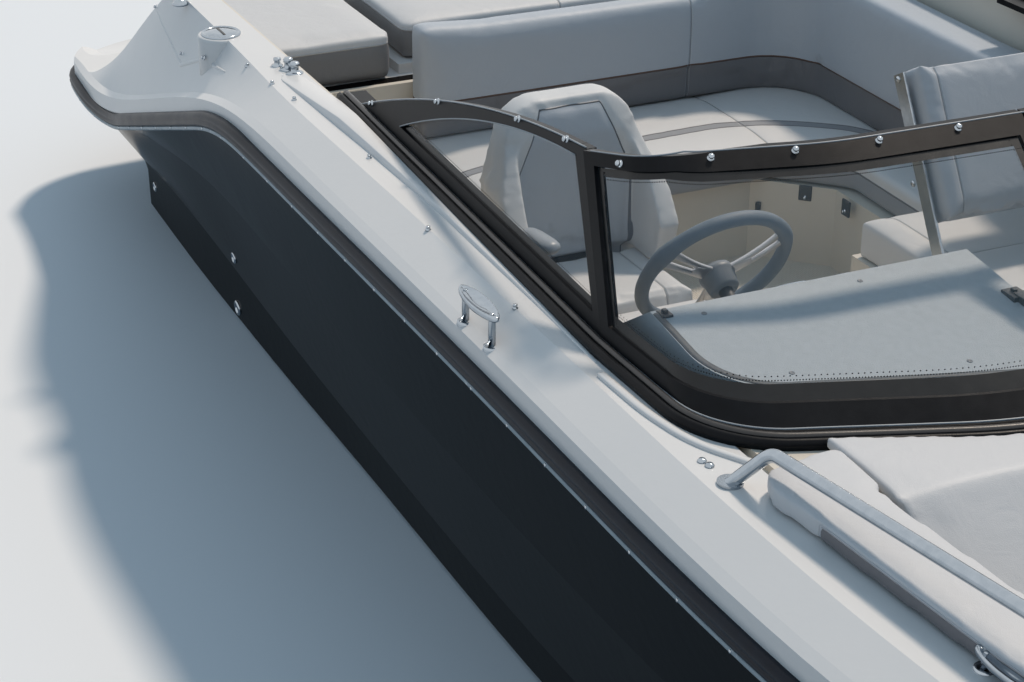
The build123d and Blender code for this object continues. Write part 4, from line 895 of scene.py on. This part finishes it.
def makeWheel():
    # each of the rim's rings is an oval in the plane through the hub's axis
    angle = np.linspace(0, 2 * np.pi, 144, endpoint=False)
    around = np.linspace(0, 2 * np.pi, 20, endpoint=False)
    # an oval grip, thicker where the thumbs rest at 10 and 2
    bump = 1.06 + 0.22 * sum(np.exp(-(((angle - math.radians(a) + np.pi) % (2 * np.pi) - np.pi) / 0.20) ** 2)
                          for a in wheel["forks"])
    thick = wheel["grip"] * bump[:, None]
    r = wheel["radius"] + thick * np.cos(around) * 0.92
    ring = np.stack([r * np.cos(angle)[:, None], r * np.sin(angle)[:, None], thick * np.sin(around)], -1)
    rim = joined("steeringWheelGrip", [(onWheel(ring.reshape(-1, 3)), gridFaces(144, 20, True, True))],
                 "wheelGrip", "wheel")
    spokes = []
    # across and up, in shares of a bar's half width and of its half height
    section = np.array([(-1, -0.55), (-0.7, -0.8), (0.7, -0.8), (1, -0.55), (1, 0.3), (0.6, 0.65), (-0.6, 0.65),
                        (-1, 0.3)])
    t = np.linspace(0, 1, 22)
    for turn in wheel["forks"]:
        c, s = math.cos(math.radians(turn)), math.sin(math.radians(turn))
        for side in (-1, 1):
            # each bar of the fork runs from the hub out to the rim, spreading and rising to it
            out = wheel["spokeFrom"] + t * wheel["spokeLength"]
            spread = side * (0.0100 + 0.0070 * t ** 2.2)
            rise = -wheel["spokeDrop"] + 0.014 * t ** 2
            width = 0.0088 - 0.0010 * np.sin(np.pi * t)
            line = np.stack([out, spread, rise], 1)
            flat = np.zeros(len(t))[:, None] * section[:, 0]
            bar = line[:, None] + np.stack([flat, width[:, None] * section[:, 0],
                                            flat + wheel["spokeHeight"] * section[:, 1]], -1)
            bar = bar.reshape(-1, 3) @ np.array([[c, s, 0], [-s, c, 0], [0, 0, 1]])
            spokes.append((onWheel(bar), stackFaces(len(t), len(section))))
        # the web that fills the fork's root
        web = np.array(mm((24, -19), (80, -10), (80, 10), (24, 19))) @ [[c, s], [-s, c]]
        points, faces = plate(web, *wheel["web"])
        spokes.append((onWheel(points), faces))
    soften(joined("steeringWheelSpokes", spokes, "wheelSilver", "wheel"), 0.0012)
    hub = mm((1, -60), (30, -60), (34, -55), (36, -30), (40, -22), (41, -14), (38.5, -11), (37, -8.5))
    ribs = []
    for radius in (0.037, 0.030, 0.0225, 0.015):
        ribs += [(radius, -0.0085), (radius - 0.001, -0.0045), (radius - 0.004, -0.0040),
                 (radius - 0.0052, -0.0072)]
    cap = [(radius, height + 0.004 * (1 - radius / 0.037)) for radius, height in ribs] + [(0.001, -0.001)]
    joined("steeringWheelHub", turnedParts(hub + cap, [wheel["hub"]], wheelFrame[2], 48), "hubGrey", "wheel")
    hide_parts("steering_wheel")


makeWheel()


# Throttle: side box, slim stem and a sideways grip with a chrome insert

throttle = {"box": ((2.700, -1.012, 0.790), (2.840, -0.972, 0.900)), "foot": (2.770, -0.966, 0.862),
            "run": (-0.030, 0.010, 0.080), "grip": ((2.655, -0.952, 0.952), (2.795, -0.952, 0.964)),
            "insert": ((2.735, -0.9785, 0.947), (2.772, -0.9755, 0.958))}


def makeThrottle():
    soften(joined("throttleBox", [boxPart(*throttle["box"])], "leverBlack", smooth=False), 0.008, 3)
    stem = np.array(throttle["foot"]) + np.linspace(0, 1, 16)[:, None] * throttle["run"]
    oval = circleProfile(1.0, 12) * [0.008, 0.013]
    lever = joined("throttleStem", [sweepPart(stem, oval, up=(1, 0, 0))], "leverBlack")
    # the grip is fuller towards its forward end and rounded at both
    s = np.linspace(0, 1, 26)
    fat = np.sqrt(np.clip(1 - (2 * s - 1) ** 6, 0, 1)) * (0.92 + 0.12 * np.sin(2.4 * s))
    section = circleProfile(1.0, 18) * [0.024, 0.016]
    grip = sweepPart(np.linspace(*throttle["grip"], len(s)), section, scale=np.maximum(fat, 0.05))
    joined("throttleGrip", [grip], "leverGrey")
    soften(joined("throttleInsert", [boxPart(*throttle["insert"])], "stainless", smooth=False), 0.001, 2)
    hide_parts("throttle")


makeThrottle()
print("wheel and throttle built")


# Deck fittings: filler cap, cleats, canopy feet, lamp and snap pegs

fuelCap = mm((1, -2), (52, -2), (53.5, 2), (51.5, 5.5), (47.5, 6.6), (45.5, 4.5), (42.5, 4), (40.5, 5.6),
             (20, 6.6), (1, 6.8))
peg = mm((1, -1), (6.5, -1), (6.8, 1.2), (4.5, 2.2), (4, 5), (5.2, 6.4), (4.8, 8.2), (1, 9))
# x, y and z of each bar, z of the deck under it, half the bar's length, and its turn
cleatPlaces = [(3.000, 1.222, 0.984, 0.912, 0.088, 0.0), (4.500, 1.035, 0.985, 0.955, 0.088, -0.09),
               (5.430, 0.700, 0.990, 0.955, 0.092, -0.75)]


def makeCap():
    # a filler cap with a slot across it, on a white boss
    x, y = 1.142, -1.125
    joined("fuelFillerCap", turnedParts(fuelCap, [(x, y, deckTop)], count=56), "stainless")
    slot = boxPart((x - 0.030, y - 0.0035, deckTop + 0.0060), (x + 0.030, y + 0.0035, deckTop + 0.0080))
    soften(joined("fuelCapSlot", [slot], "leverBlack"), 0.001)
    boss = mm((1, -170), (61, -170), (62.5, -8), (61, -2), (57, 0.3), (1, 0.4))
    joined("fuelCapBoss", turnedParts(boss, [(x, y, deckTop)], count=56), "deckWhite")


def makeCleats():
    # a lens-shaped bar, hollowed on top, on two posts that come up through cups in the deck
    bars, posts = [], []
    a = np.linspace(0, 2 * np.pi, 48, endpoint=False)
    # share of the lens and height, from the bar's underside up and into its hollow
    levels = [(0.55, -0.010), (0.94, -0.0095), (1.0, -0.006), (1.0, 0.000), (0.95, 0.003), (0.86, 0.0025),
              (0.80, 0.000), (0.30, -0.001)]
    for x, y, z, foot, half, turn in cleatPlaces:
        for side in (1, -1):
            c, s = math.cos(side * turn), math.sin(side * turn)
            shape = np.stack([half * np.cos(a), 0.022 * np.sign(np.sin(a)) * np.abs(np.sin(a)) ** 1.15], 1)
            shape = shape @ np.array([[c, s], [-s, c]])
            points = np.vstack([np.column_stack([shape * k + [x, side * y], np.full(48, z + h)])
                                for k, h in levels])
            bars.append((points, stackFaces(len(levels), 48)))
            drop = foot - z
            stem = [(0.001, drop - 0.03), (0.0080, drop - 0.03), (0.0075, -0.014), (0.0095, -0.008),
                    (0.001, -0.007)]
            cup = [(0.001, drop - 0.02), (0.0165, drop - 0.02), (0.0180, drop - 0.001), (0.0172, drop + 0.004),
                   (0.0125, drop + 0.0045), (0.0110, drop + 0.001), (0.001, drop)]
            screws = mm((1, -2), (4.5, -2), (4.2, 1.4), (1, 1.8))
            places = [(x + p * c, side * y + p * s, z) for p in (-0.063, 0.063)]
            for profile, count in ((stem, 20), (cup, 28), (screws, 14)):
                posts += turnedParts(profile, places, count=count)
    bar = joined("cleatBars", bars, "stainless")
    joined("cleatPosts", posts, "stainless")
    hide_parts("cleats")


def makeStuds():
    # canopy feet and the stern light's foot
    foot = mm((1, -2), (21.5, -2), (22, 1.5), (16, 4), (10.5, 4.8), (9.5, 16), (12, 19), (12.5, 26), (9.5, 30),
              (1, 31.2))
    small = mm((1, -2), (14.5, -2), (15, 1.5), (9, 3.5), (7.5, 12), (10, 14.5), (10, 20), (1, 22.5))
    pairs = []
    for side in (1, -1):
        pairs += turnedParts(foot, [(1.475, side * 1.058, deckTop), (1.512, side * 1.054, deckTop)], count=24)
        pairs += turnedParts(small, [(1.440, side * 1.075, deckTop)], count=20)
        pairs.append(boxPart((1.466, side * 1.058 - 0.006, deckTop + 0.014),
                             (1.521, side * 1.054 + 0.006, deckTop + 0.021)))
    posts = joined("canopyFeet", pairs, "stainless")
    light = mm((1, -2), (22.5, -2), (23, 3), (17, 6), (15, 12), (1, 14))
    joined("sternLightSocket", turnedParts(light, [(0.835, -1.139, deckTop - 0.006)], count=28), "stainless")
    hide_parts("deck_fittings")


# pegs that stand on the deck; pegs on the wing's and hull's slant; the twin fitting beside the grab rail;
# drains, each with a share of the full size
pegSpots = [(1.566, 1.135, deckTop), (1.697, 1.125, deckTop), (2.130, 1.102, deckTop), (2.074, 1.072, deckTop),
            (2.566, 1.143, 0.9540), (3.000, 1.142, deckTop), (1.391, 1.140, 0.946)]
slantSpots = [(0.531, 1.117, 0.847), (0.914, 1.164, 0.832), (1.172, 1.184, 0.905), (0.30, 1.028, 0.60)]
twinSpots = [(3.702, 1.112, deckTop), (3.722, 1.108, deckTop)]
drainSpots = [(0.076, 1.0235, 0.097, 0.7), (0.999, 1.0705, 0.233, 0.75), (0.949, 1.049, 0.049, 1.0)]
twin = mm((1, -1), (8.5, -1), (9, 2), (6, 6), (1, 6.5))
drain = mm((1, -4), (22.5, -4), (23.5, 2), (20.5, 5.5), (15.5, 6), (14, 3), (12.5, -1), (1, -1))


def makePegs():
    pegs, drains = [], []
    for side in (1, -1):
        pegs += turnedParts(peg, [(x, side * y, z) for x, y, z in pegSpots], count=14)
        pegs += turnedParts(peg, [(x, side * y, z) for x, y, z in slantSpots], (-0.1, side * 0.93, 0.32), 14)
        pegs += turnedParts(twin, [(x, side * y, z) for x, y, z in twinSpots], count=16)
        for x, y, z, size in drainSpots:
            scaled = [(r * size, h * size) for r, h in drain]
            drains += turnedParts(scaled, [(x, side * y, z)], (-0.03, side * 0.99, -0.10), 28)
    joined("snapPegs", pegs, "stainless")
    joined("hullDrains", drains, "stainless")


creaseLine = roundedLine([(0.560, 0.842), (0.930, 0.806), (1.090, 0.872), (1.300, 0.905)], (0.035, 0.12), 14)
footLip = roundedLine([(3.335, -1.1210), (3.500, -1.1170), (3.640, -1.0950), (3.755, -1.030)], (0.8, 0.35), 30)
# x against y of its edges and against its height over the deck
coaming = {"from": 1.50, "to": 3.28, "steps": 120, "sink": 0.004, "slope": 0.45,
           "outer": ([1.50, 1.55, 2.06, 2.5, 3.0, 3.28], [-1.085, -1.106, -1.092, -1.086, -1.098, -1.108]),
           "inner": ([1.50, 1.78, 3.28], [-1.050, -1.034, -1.098]),
           "rise": ([1.50, 1.90, 2.4, 3.0, 3.28], [0.0005, 0.019, 0.011, 0.005, 0.0005])}


def makeCrease():
    # the wing's V-shaped crease: a bead laid on the deck's side, thin at both ends
    tree = meshTree("deck")
    spots = [tree.ray_cast(Vector((x, -1.6, z)), Vector((0, 1, 0)))[0] for x, z in evenLine(creaseLine, 60)]
    spots = np.array([spot for spot in spots if spot is not None])
    bead = mm((7, -4), (5.5, 1.2), (3, 2.8), (0, 3.3), (-3, 2.8), (-5.5, 1.2), (-7, -4))
    size = np.sin(np.linspace(0.12, np.pi - 0.12, len(spots))) ** 0.4
    joined("wingCrease", bothSides(*sweepPart(spots, bead, up=(0, -0.93, 0.36), scale=size)), "deckWhite")


def makeShieldFoot():
    # a lip round the windshield's forward foot
    run = evenLine(footLip, 90)
    lip = mm((10, -3), (9.5, 5), (6, 7.5), (-4, 7.8), (-8.5, 5.5), (-9.5, -3))
    path = np.column_stack([run, np.full(len(run), deckTop)])
    joined("shieldFootLip", bothSides(*sweepPart(path, lip)), "deckWhite")
    # a coaming that grows beside the windshield's tip and dies away forward along the track
    steps = coaming["steps"]
    x = np.linspace(coaming["from"], coaming["to"], steps)
    outer, inner, rise = (np.interp(x, *coaming[key]) for key in ("outer", "inner", "rise"))
    low, top = np.full(steps, deckTop - coaming["sink"]), deckTop + rise
    corners = ((inner, low), (inner, top), (outer + coaming["slope"] * rise, top), (outer, low))
    rows = np.stack([np.column_stack([x, y, z]) for y, z in corners], 1)
    soften(joined("shieldCoaming", bothSides(rows.reshape(-1, 3), stackFaces(steps, 4)), "deckWhite"), 0.002)


makeCap()
makeCleats()
makeStuds()
makePegs()
makeCrease()
makeShieldFoot()
print("deck fittings built")


# Dash: dark border, screws, clips and brackets

dashScrews = [(3.326, -0.545), (3.568, -0.849), (3.647, -0.508), (3.33, -0.90)]


def dashTop(x):
    # the dash's height: a slope up from its aft edge, then a slight fall forward
    x = np.asarray(x, float)
    return np.where(x > 3.29, 1.045 - 0.060 * (x - 3.29) / 0.52, 0.920 + (x - 3.10) * 0.125 / 0.19)


def makeDash():
    # a border carried along the dash's forward and outer edges
    border = evenLine(roundedLine([(3.758, -0.270), (3.575, -1.000), (3.30, -0.9955)], (0.17,), 60), 160)
    path = np.column_stack([border, dashTop(border[:, 0]) - 0.004])
    # the path runs clockwise, so side, which points outwards, is turned round
    profile = mm((-16, 3.5), (-15, 5.8), (-4, 6.2), (0, 4), (0.8, -12), (-4, -12), (-6, 1))
    points = carried(path, np.array(profile) * [-1, 1], (0, 0, 1))
    joined("dashBorders", bothSides(points, stackFaces(len(path), len(profile))), "dashEdge")
    screw = mm((0.3, -1), (6.2, -1), (5.8, 1.2), (3.5, 1.8), (2.2, 0.4), (0.3, 0.4))
    places = [(x, y, float(dashTop(x)) - 0.0004) for x, y in dashScrews]
    parts = [part for points, faces in turnedParts(screw, places, (0.115, 0, 0.993), 16)
             for part in bothSides(points, faces)]
    joined("dashScrews", parts, "hubGrey")
    # a clip aft of the corner, two boxes, and a bracket beside the door, three
    boxes = [((3.292, -0.985, 1.040), (3.322, -0.962, 1.0465)),
             ((3.300, -0.978, 1.045), (3.312, -0.968, 1.053)),
             ((3.455, -0.300, 1.020), (3.500, -0.262, 1.0315)),
             ((3.466, -0.286, 1.030), (3.478, -0.276, 1.037)), ((3.480, -0.290, 1.0), (3.520, -0.262, 1.034))]
    parts = [part for low, high in boxes for part in bothSides(*boxPart(low, high))]
    soften(joined("dashClips", parts, "leverBlack", smooth=False), 0.0015)


makeDash()
print("dash detailed")


# Cockpit: speaker, latches and tabs on the lounge's front, screws on the flat arms

speaker = {"middle": (1.87, 0.640, 0.235), "bars": 7, "pitch": 0.020, "lowest": -0.060, "reach": 0.074,
           "rise": 0.012, "drop": 0.006, "out": -0.0105, "bar": 0.0028}
lounge = {"out": (0.731, -0.683, 0.0), "along": (0.683, 0.731, 0.0), "latch": (1.2985, 0.4920, 0.243),
          "tabs": [(1.3955, 0.5925, 0.312), (1.172, 0.383, 0.30)], "sideTabs": (1.55, 1.80), "side": 0.632}


def makeSpeaker():
    # a dished grille in a round frame, with bars that bow upwards across the circle
    middle = np.array(speaker["middle"])
    disc = mm((1, -4), (88, -4), (90, 2), (86, 9), (80, 10), (76, 5), (60, 7), (1, 12))
    joined("loungeSpeaker", turnedParts(disc, [middle - [0, 0.002, 0]], (0, -1, 0), 48), "speakerBlack")
    t = np.linspace(-1, 1, 30)
    bars = []
    for k in range(speaker["bars"]):
        z = speaker["lowest"] + speaker["pitch"] * k
        half = math.sqrt(max(speaker["reach"] ** 2 - z ** 2, 0.0004))
        line = np.stack([half * t, np.full(len(t), speaker["out"]),
                         z - speaker["drop"] + speaker["rise"] * (1 - t ** 2)], 1)
        bars.append(sweepPart(line + middle, circleProfile(speaker["bar"], 8), up=(0, -1, 0)))
    joined("loungeSpeakerBars", bars, "hubGrey")


def makeCockpit():
    # tabs with snaps and a lift latch on the lounge's slanting front, more tabs on its side
    out, side = np.array(lounge["out"]), lounge["side"]
    turn = np.stack([lounge["along"], -out, [0, 0, 1]])

    def onFront(box, at):
        return np.asarray(box[0], float) @ turn + at, box[1]

    tabs, snaps = [], []
    for x, y, z in lounge["tabs"]:
        tabs.append(onFront(boxPart((-0.020, -0.004, -0.030), (0.020, 0.002, 0.020)), [x, y, z]))
        snaps += turnedParts(peg, [np.array([x, y, z - 0.018]) + out * 0.004], out, 14)
    tabs.append(onFront(boxPart((-0.008, -0.012, -0.016), (0.008, 0.002, 0.016)), lounge["latch"]))
    for x in lounge["sideTabs"]:
        tabs.append(boxPart((x - 0.020, side, 0.285), (x + 0.020, side + 0.008, 0.335)))
        snaps += turnedParts(peg, [(x, side, 0.30)], (0, -1, 0), 14)
    soften(joined("loungeTabs", tabs, "leverBlack", smooth=False), 0.003)
    # screws on the flat arms of the companion backrest
    head = mm((0.3, -1), (9, -1), (8.5, 2), (4, 4), (0.3, 4.2))
    screws = []
    for y, way in ((0.347, -1), (0.908, 1)):
        screws += turnedParts(head, [(2.152, y, 0.948), (2.258, y, 0.700)], (0, way, 0), 18)
    joined("backrestArmScrews", screws, "stainless", "companion_backrest")
    joined("loungeSnaps", snaps, "stainless")


makeSpeaker()
makeCockpit()
print("cockpit detailed")


# Dials, switches, latches and pulls that the camera doesn't see

def onNode(name, start, way):
    # where a ray from start along way meets a node, and the outward direction there
    point, normal = meshTree(name).ray_cast(Vector(start), Vector(way).normalized())[:2]
    normal = np.array(normal)
    return np.array(point), normal if normal @ np.array(way, float) < 0 else -normal


dials = {"places": [(-0.63, 0.050), (-0.755, 0.033), (-0.505, 0.033)], "ticks": 13}


def makeDials():
    # each dial is a turned bezel and face, square to the dash where a ray from the driver meets it
    cases, faces, marks = [], [], []
    for y, radius in dials["places"]:
        at, out = onNode("helm_dash", (2.95, y, 1.16), (0.24, 0, -0.18))
        bezel = [(0.001, -0.004), (radius, -0.004), (radius + 0.002, 0.003), (radius - 0.002, 0.008),
                 (radius - 0.006, 0.0075), (radius - 0.008, 0.0045), (0.001, 0.004)]
        cases += turnedParts(bezel, [at], out, 48)
        faces += turnedParts([(0.0005, 0.0042), (radius - 0.008, 0.0046), (radius - 0.008, 0.0052),
                              (0.0005, 0.0052)],
                             [at], out, 40)
        # ticks round the face, then its needle: flat boxes turned in the face's plane
        tick = boxPart((radius * 0.60, -0.0008, 0.0050), (radius * 0.74, 0.0008, 0.0056))
        needle = boxPart((-0.006, -0.0012, 0.0054), (radius * 0.62, 0.0012, 0.0062))
        for angle, (points, quads) in [*((a, tick) for a in np.linspace(-2.2, 2.2, dials["ticks"])),
                                       (1.9, needle)]:
            c, s = math.cos(angle), math.sin(angle)
            points = np.array(points) @ np.array([[-c, s, 0], [-s, -c, 0], [0, 0, 1]])
            marks.append((points @ turnTo(out).T + at, quads))
    joined("dialCases", cases, "stainless")
    joined("dialFaces", faces, "speakerBlack")
    joined("dialMarks", marks, "highlightAndDialGrey", smooth=False)


def makeSwitches():
    # rockers on the pod, each a frame and a smaller key on it
    rockers = []
    for y in (-0.80, -0.765, -0.495, -0.46):
        at, out = onNode("helm_pod", (2.6, y, 0.86), (1, 0, -0.12))
        for low, high in (((-0.022, -0.012, -0.003), (0.022, 0.012, 0.0025)),
                          ((-0.017, -0.008, 0.002), (0.017, 0.008, 0.006))):
            points, quads = boxPart(low, high)
            rockers.append((np.array(points) @ turnTo(out).T + at, quads))
    soften(joined("podSwitches", rockers, "leverBlack", smooth=False), 0.0012)


def makePulls():
    # a flush ring pull on the locker lid, a push latch on the glovebox, a pull strap on the sunpad
    ring = mm((1, -2), (34, -2), (36, 1.2), (33, 2.4), (29, 1.4), (27, 2.6), (23, 2.6), (21, 0.8), (1, 0.8))
    at, out = onNode("floor_locker_lid", (1.84, 0.0, 0.5), (0, 0, -1))
    joined("lockerRingPull", turnedParts(ring, [at], out, 40), "stainless", "locker_lid")
    at, out = onNode("glovebox_door", (2.8, 0.64, 0.825), (1, 0, 0))
    knob = mm((1, -2), (16, -2), (17, 3), (14, 6), (10, 6.5), (9, 4), (1, 4))
    joined("gloveboxLatch", turnedParts(knob, [at], out, 32), "stainless", "glovebox_lid")
    t = np.linspace(0, np.pi, 24)
    strap = np.column_stack([0.046 - 0.028 * np.sin(t), np.full(24, 0.125), 0.668 + 0.026 * np.cos(t)])
    flat = np.array(mm((-14, -1.2), (14, -1.2), (14, 1.2), (-14, 1.2)))
    joined("sunpadPullStrap", [sweepPart(strap, flat, up=(1, 0, 0))], "speakerBlack", "hatch")
    at, out = onNode("windshield_door_frame", (2.9, -0.240, 1.005), (1, 0, 0.0))
    grip = mm((1, -2), (11, -2), (9, 6), (13, 12), (13, 20), (9, 24), (1, 24.5))
    joined("doorLatchKnob", turnedParts(grip, [at], out, 24), "leverBlack", "windshield_door")


makeDials()
makeSwitches()
makePulls()
print("dials, switches and pulls built")


# Stage, lights and camera

stage = {"floorSize": 160.0, "floorTuck": 0.02, "floorColour": (0.80, 0.82, 0.84), "sunPower": 2.45,
         "sunAngle": 6.0, "sunColour": (1.0, 0.86, 0.72), "sunFrom": (-0.35, 0.62, 1.0), "skyPower": 0.48,
         "skyColour": (0.57, 0.79, 1.0), "floorBounce": (0.34, 0.37, 0.40)}


def hullEdge():
    # the hull's outline where it crosses the floor, found from outside and drawn in; anticlockwise from above
    tree, tuck = meshTree("hull"), stage["floorTuck"]
    hits = [tree.ray_cast(Vector((x, -3, 0)), Vector((0, 1, 0)))[0] for x in np.linspace(0.01, 5.6, 141)]
    side = np.array([(hit.x, hit.y + tuck) for hit in hits if hit is not None and hit.y < -2 * tuck])
    return np.concatenate([side, side[::-1] * [1, -1]])


def seenDirectly(tree):
    # 1 for what the camera sees straight, in a mirror or through glass
    path = addNode(tree, "ShaderNodeLightPath").outputs
    seen = maths(tree, "MAXIMUM", path["Is Camera Ray"], path["Is Glossy Ray"])
    return maths(tree, "MAXIMUM", seen, path["Is Transmission Ray"])


def makeFloor():
    # the floor lies at the waterline and stops just inside the hull, so that no well shows it: a ring from the
    # hull's edge out to a circle, along rays from the middle of the boat
    inner = hullEdge()
    way = inner - [inner[:, 0].mean(), 0]
    outer = way / np.linalg.norm(way, axis=1)[:, None] * stage["floorSize"] / 2
    count = len(inner)
    mesh = bpy.data.meshes.new("waterlineFloor")
    ring = np.column_stack([np.concatenate([inner, outer]), np.zeros(2 * count)])
    mesh.from_pydata(ring.tolist(), [], gridFaces(2, count, False, True)[:, [0, 3, 2, 1]].tolist())
    floor = bpy.data.objects.new("waterlineFloor", mesh)
    bpy.context.scene.collection.objects.link(floor)
    # pale where it is seen, darker for the light that it sends up
    material, tree, shader, _ = openMaterial("paleFloor")
    shade = mixed(tree, seenDirectly(tree), stage["floorBounce"], stage["floorColour"])
    tree.links.new(shade, shader.inputs["Base Color"])
    shader.inputs["Roughness"].default_value = 0.8
    mesh.materials.append(material)


def makeLights():
    # a blue sky for the light and a white one to be seen, and one soft sun
    scene = bpy.context.scene
    scene.world = bpy.data.worlds.new("studioSky")
    scene.world.use_nodes = True
    tree = scene.world.node_tree
    sky = tree.nodes["Background"]
    feed(tree, sky.inputs["Color"], stage["skyColour"])
    feed(tree, sky.inputs["Strength"], stage["skyPower"])
    white = addNode(tree, "ShaderNodeBackground", Color=(1, 1, 1), Strength=1.0)
    both = fed(tree, "ShaderNodeMixShader", {0: seenDirectly(tree), 1: sky.outputs[0], 2: white.outputs[0]}, 0)
    tree.links.new(both, tree.nodes["World Output"].inputs["Surface"])
    lamp = bpy.data.lights.new("keySun", "SUN")
    lamp.energy, lamp.angle, lamp.color = stage["sunPower"], math.radians(stage["sunAngle"]), stage["sunColour"]
    sun = bpy.data.objects.new("keySun", lamp)
    sun.rotation_mode = "QUATERNION"
    sun.rotation_quaternion = Vector(stage["sunFrom"]).to_track_quat("Z", "Y")
    scene.collection.objects.link(sun)
    scene.view_settings.view_transform = "Standard"


view = {"at": (6.717, -2.938, 2.912), "azimuth": 25.718, "elevation": 26.19, "roll": -0.76,
        "focal": 2282 / 1024 * 36}


def makeCamera():
    # looks along the azimuth, down by the elevation, and is turned about that line by the roll
    azimuth, elevation, roll = (math.radians(view[k]) for k in ("azimuth", "elevation", "roll"))
    ahead = Vector((-math.cos(azimuth) * math.cos(elevation), math.sin(azimuth) * math.cos(elevation),
                    -math.sin(elevation)))
    right = Vector((math.sin(azimuth), math.cos(azimuth), 0))
    down = ahead.cross(right)
    level = right * math.cos(roll) + down * math.sin(roll)
    up = -(down * math.cos(roll) - right * math.sin(roll))
    data = bpy.data.cameras.new("photoCamera")
    data.lens, data.sensor_width, data.clip_end = view["focal"], 36, 200
    camera = bpy.data.objects.new("photoCamera", data)
    turn = Matrix((level, up, -ahead)).transposed().to_4x4()
    camera.matrix_world = Matrix.Translation(view["at"]) @ turn
    bpy.context.scene.collection.objects.link(camera)
    bpy.context.scene.camera = camera


makeFloor()
makeLights()
makeCamera()
print("stage, lights and camera ready")
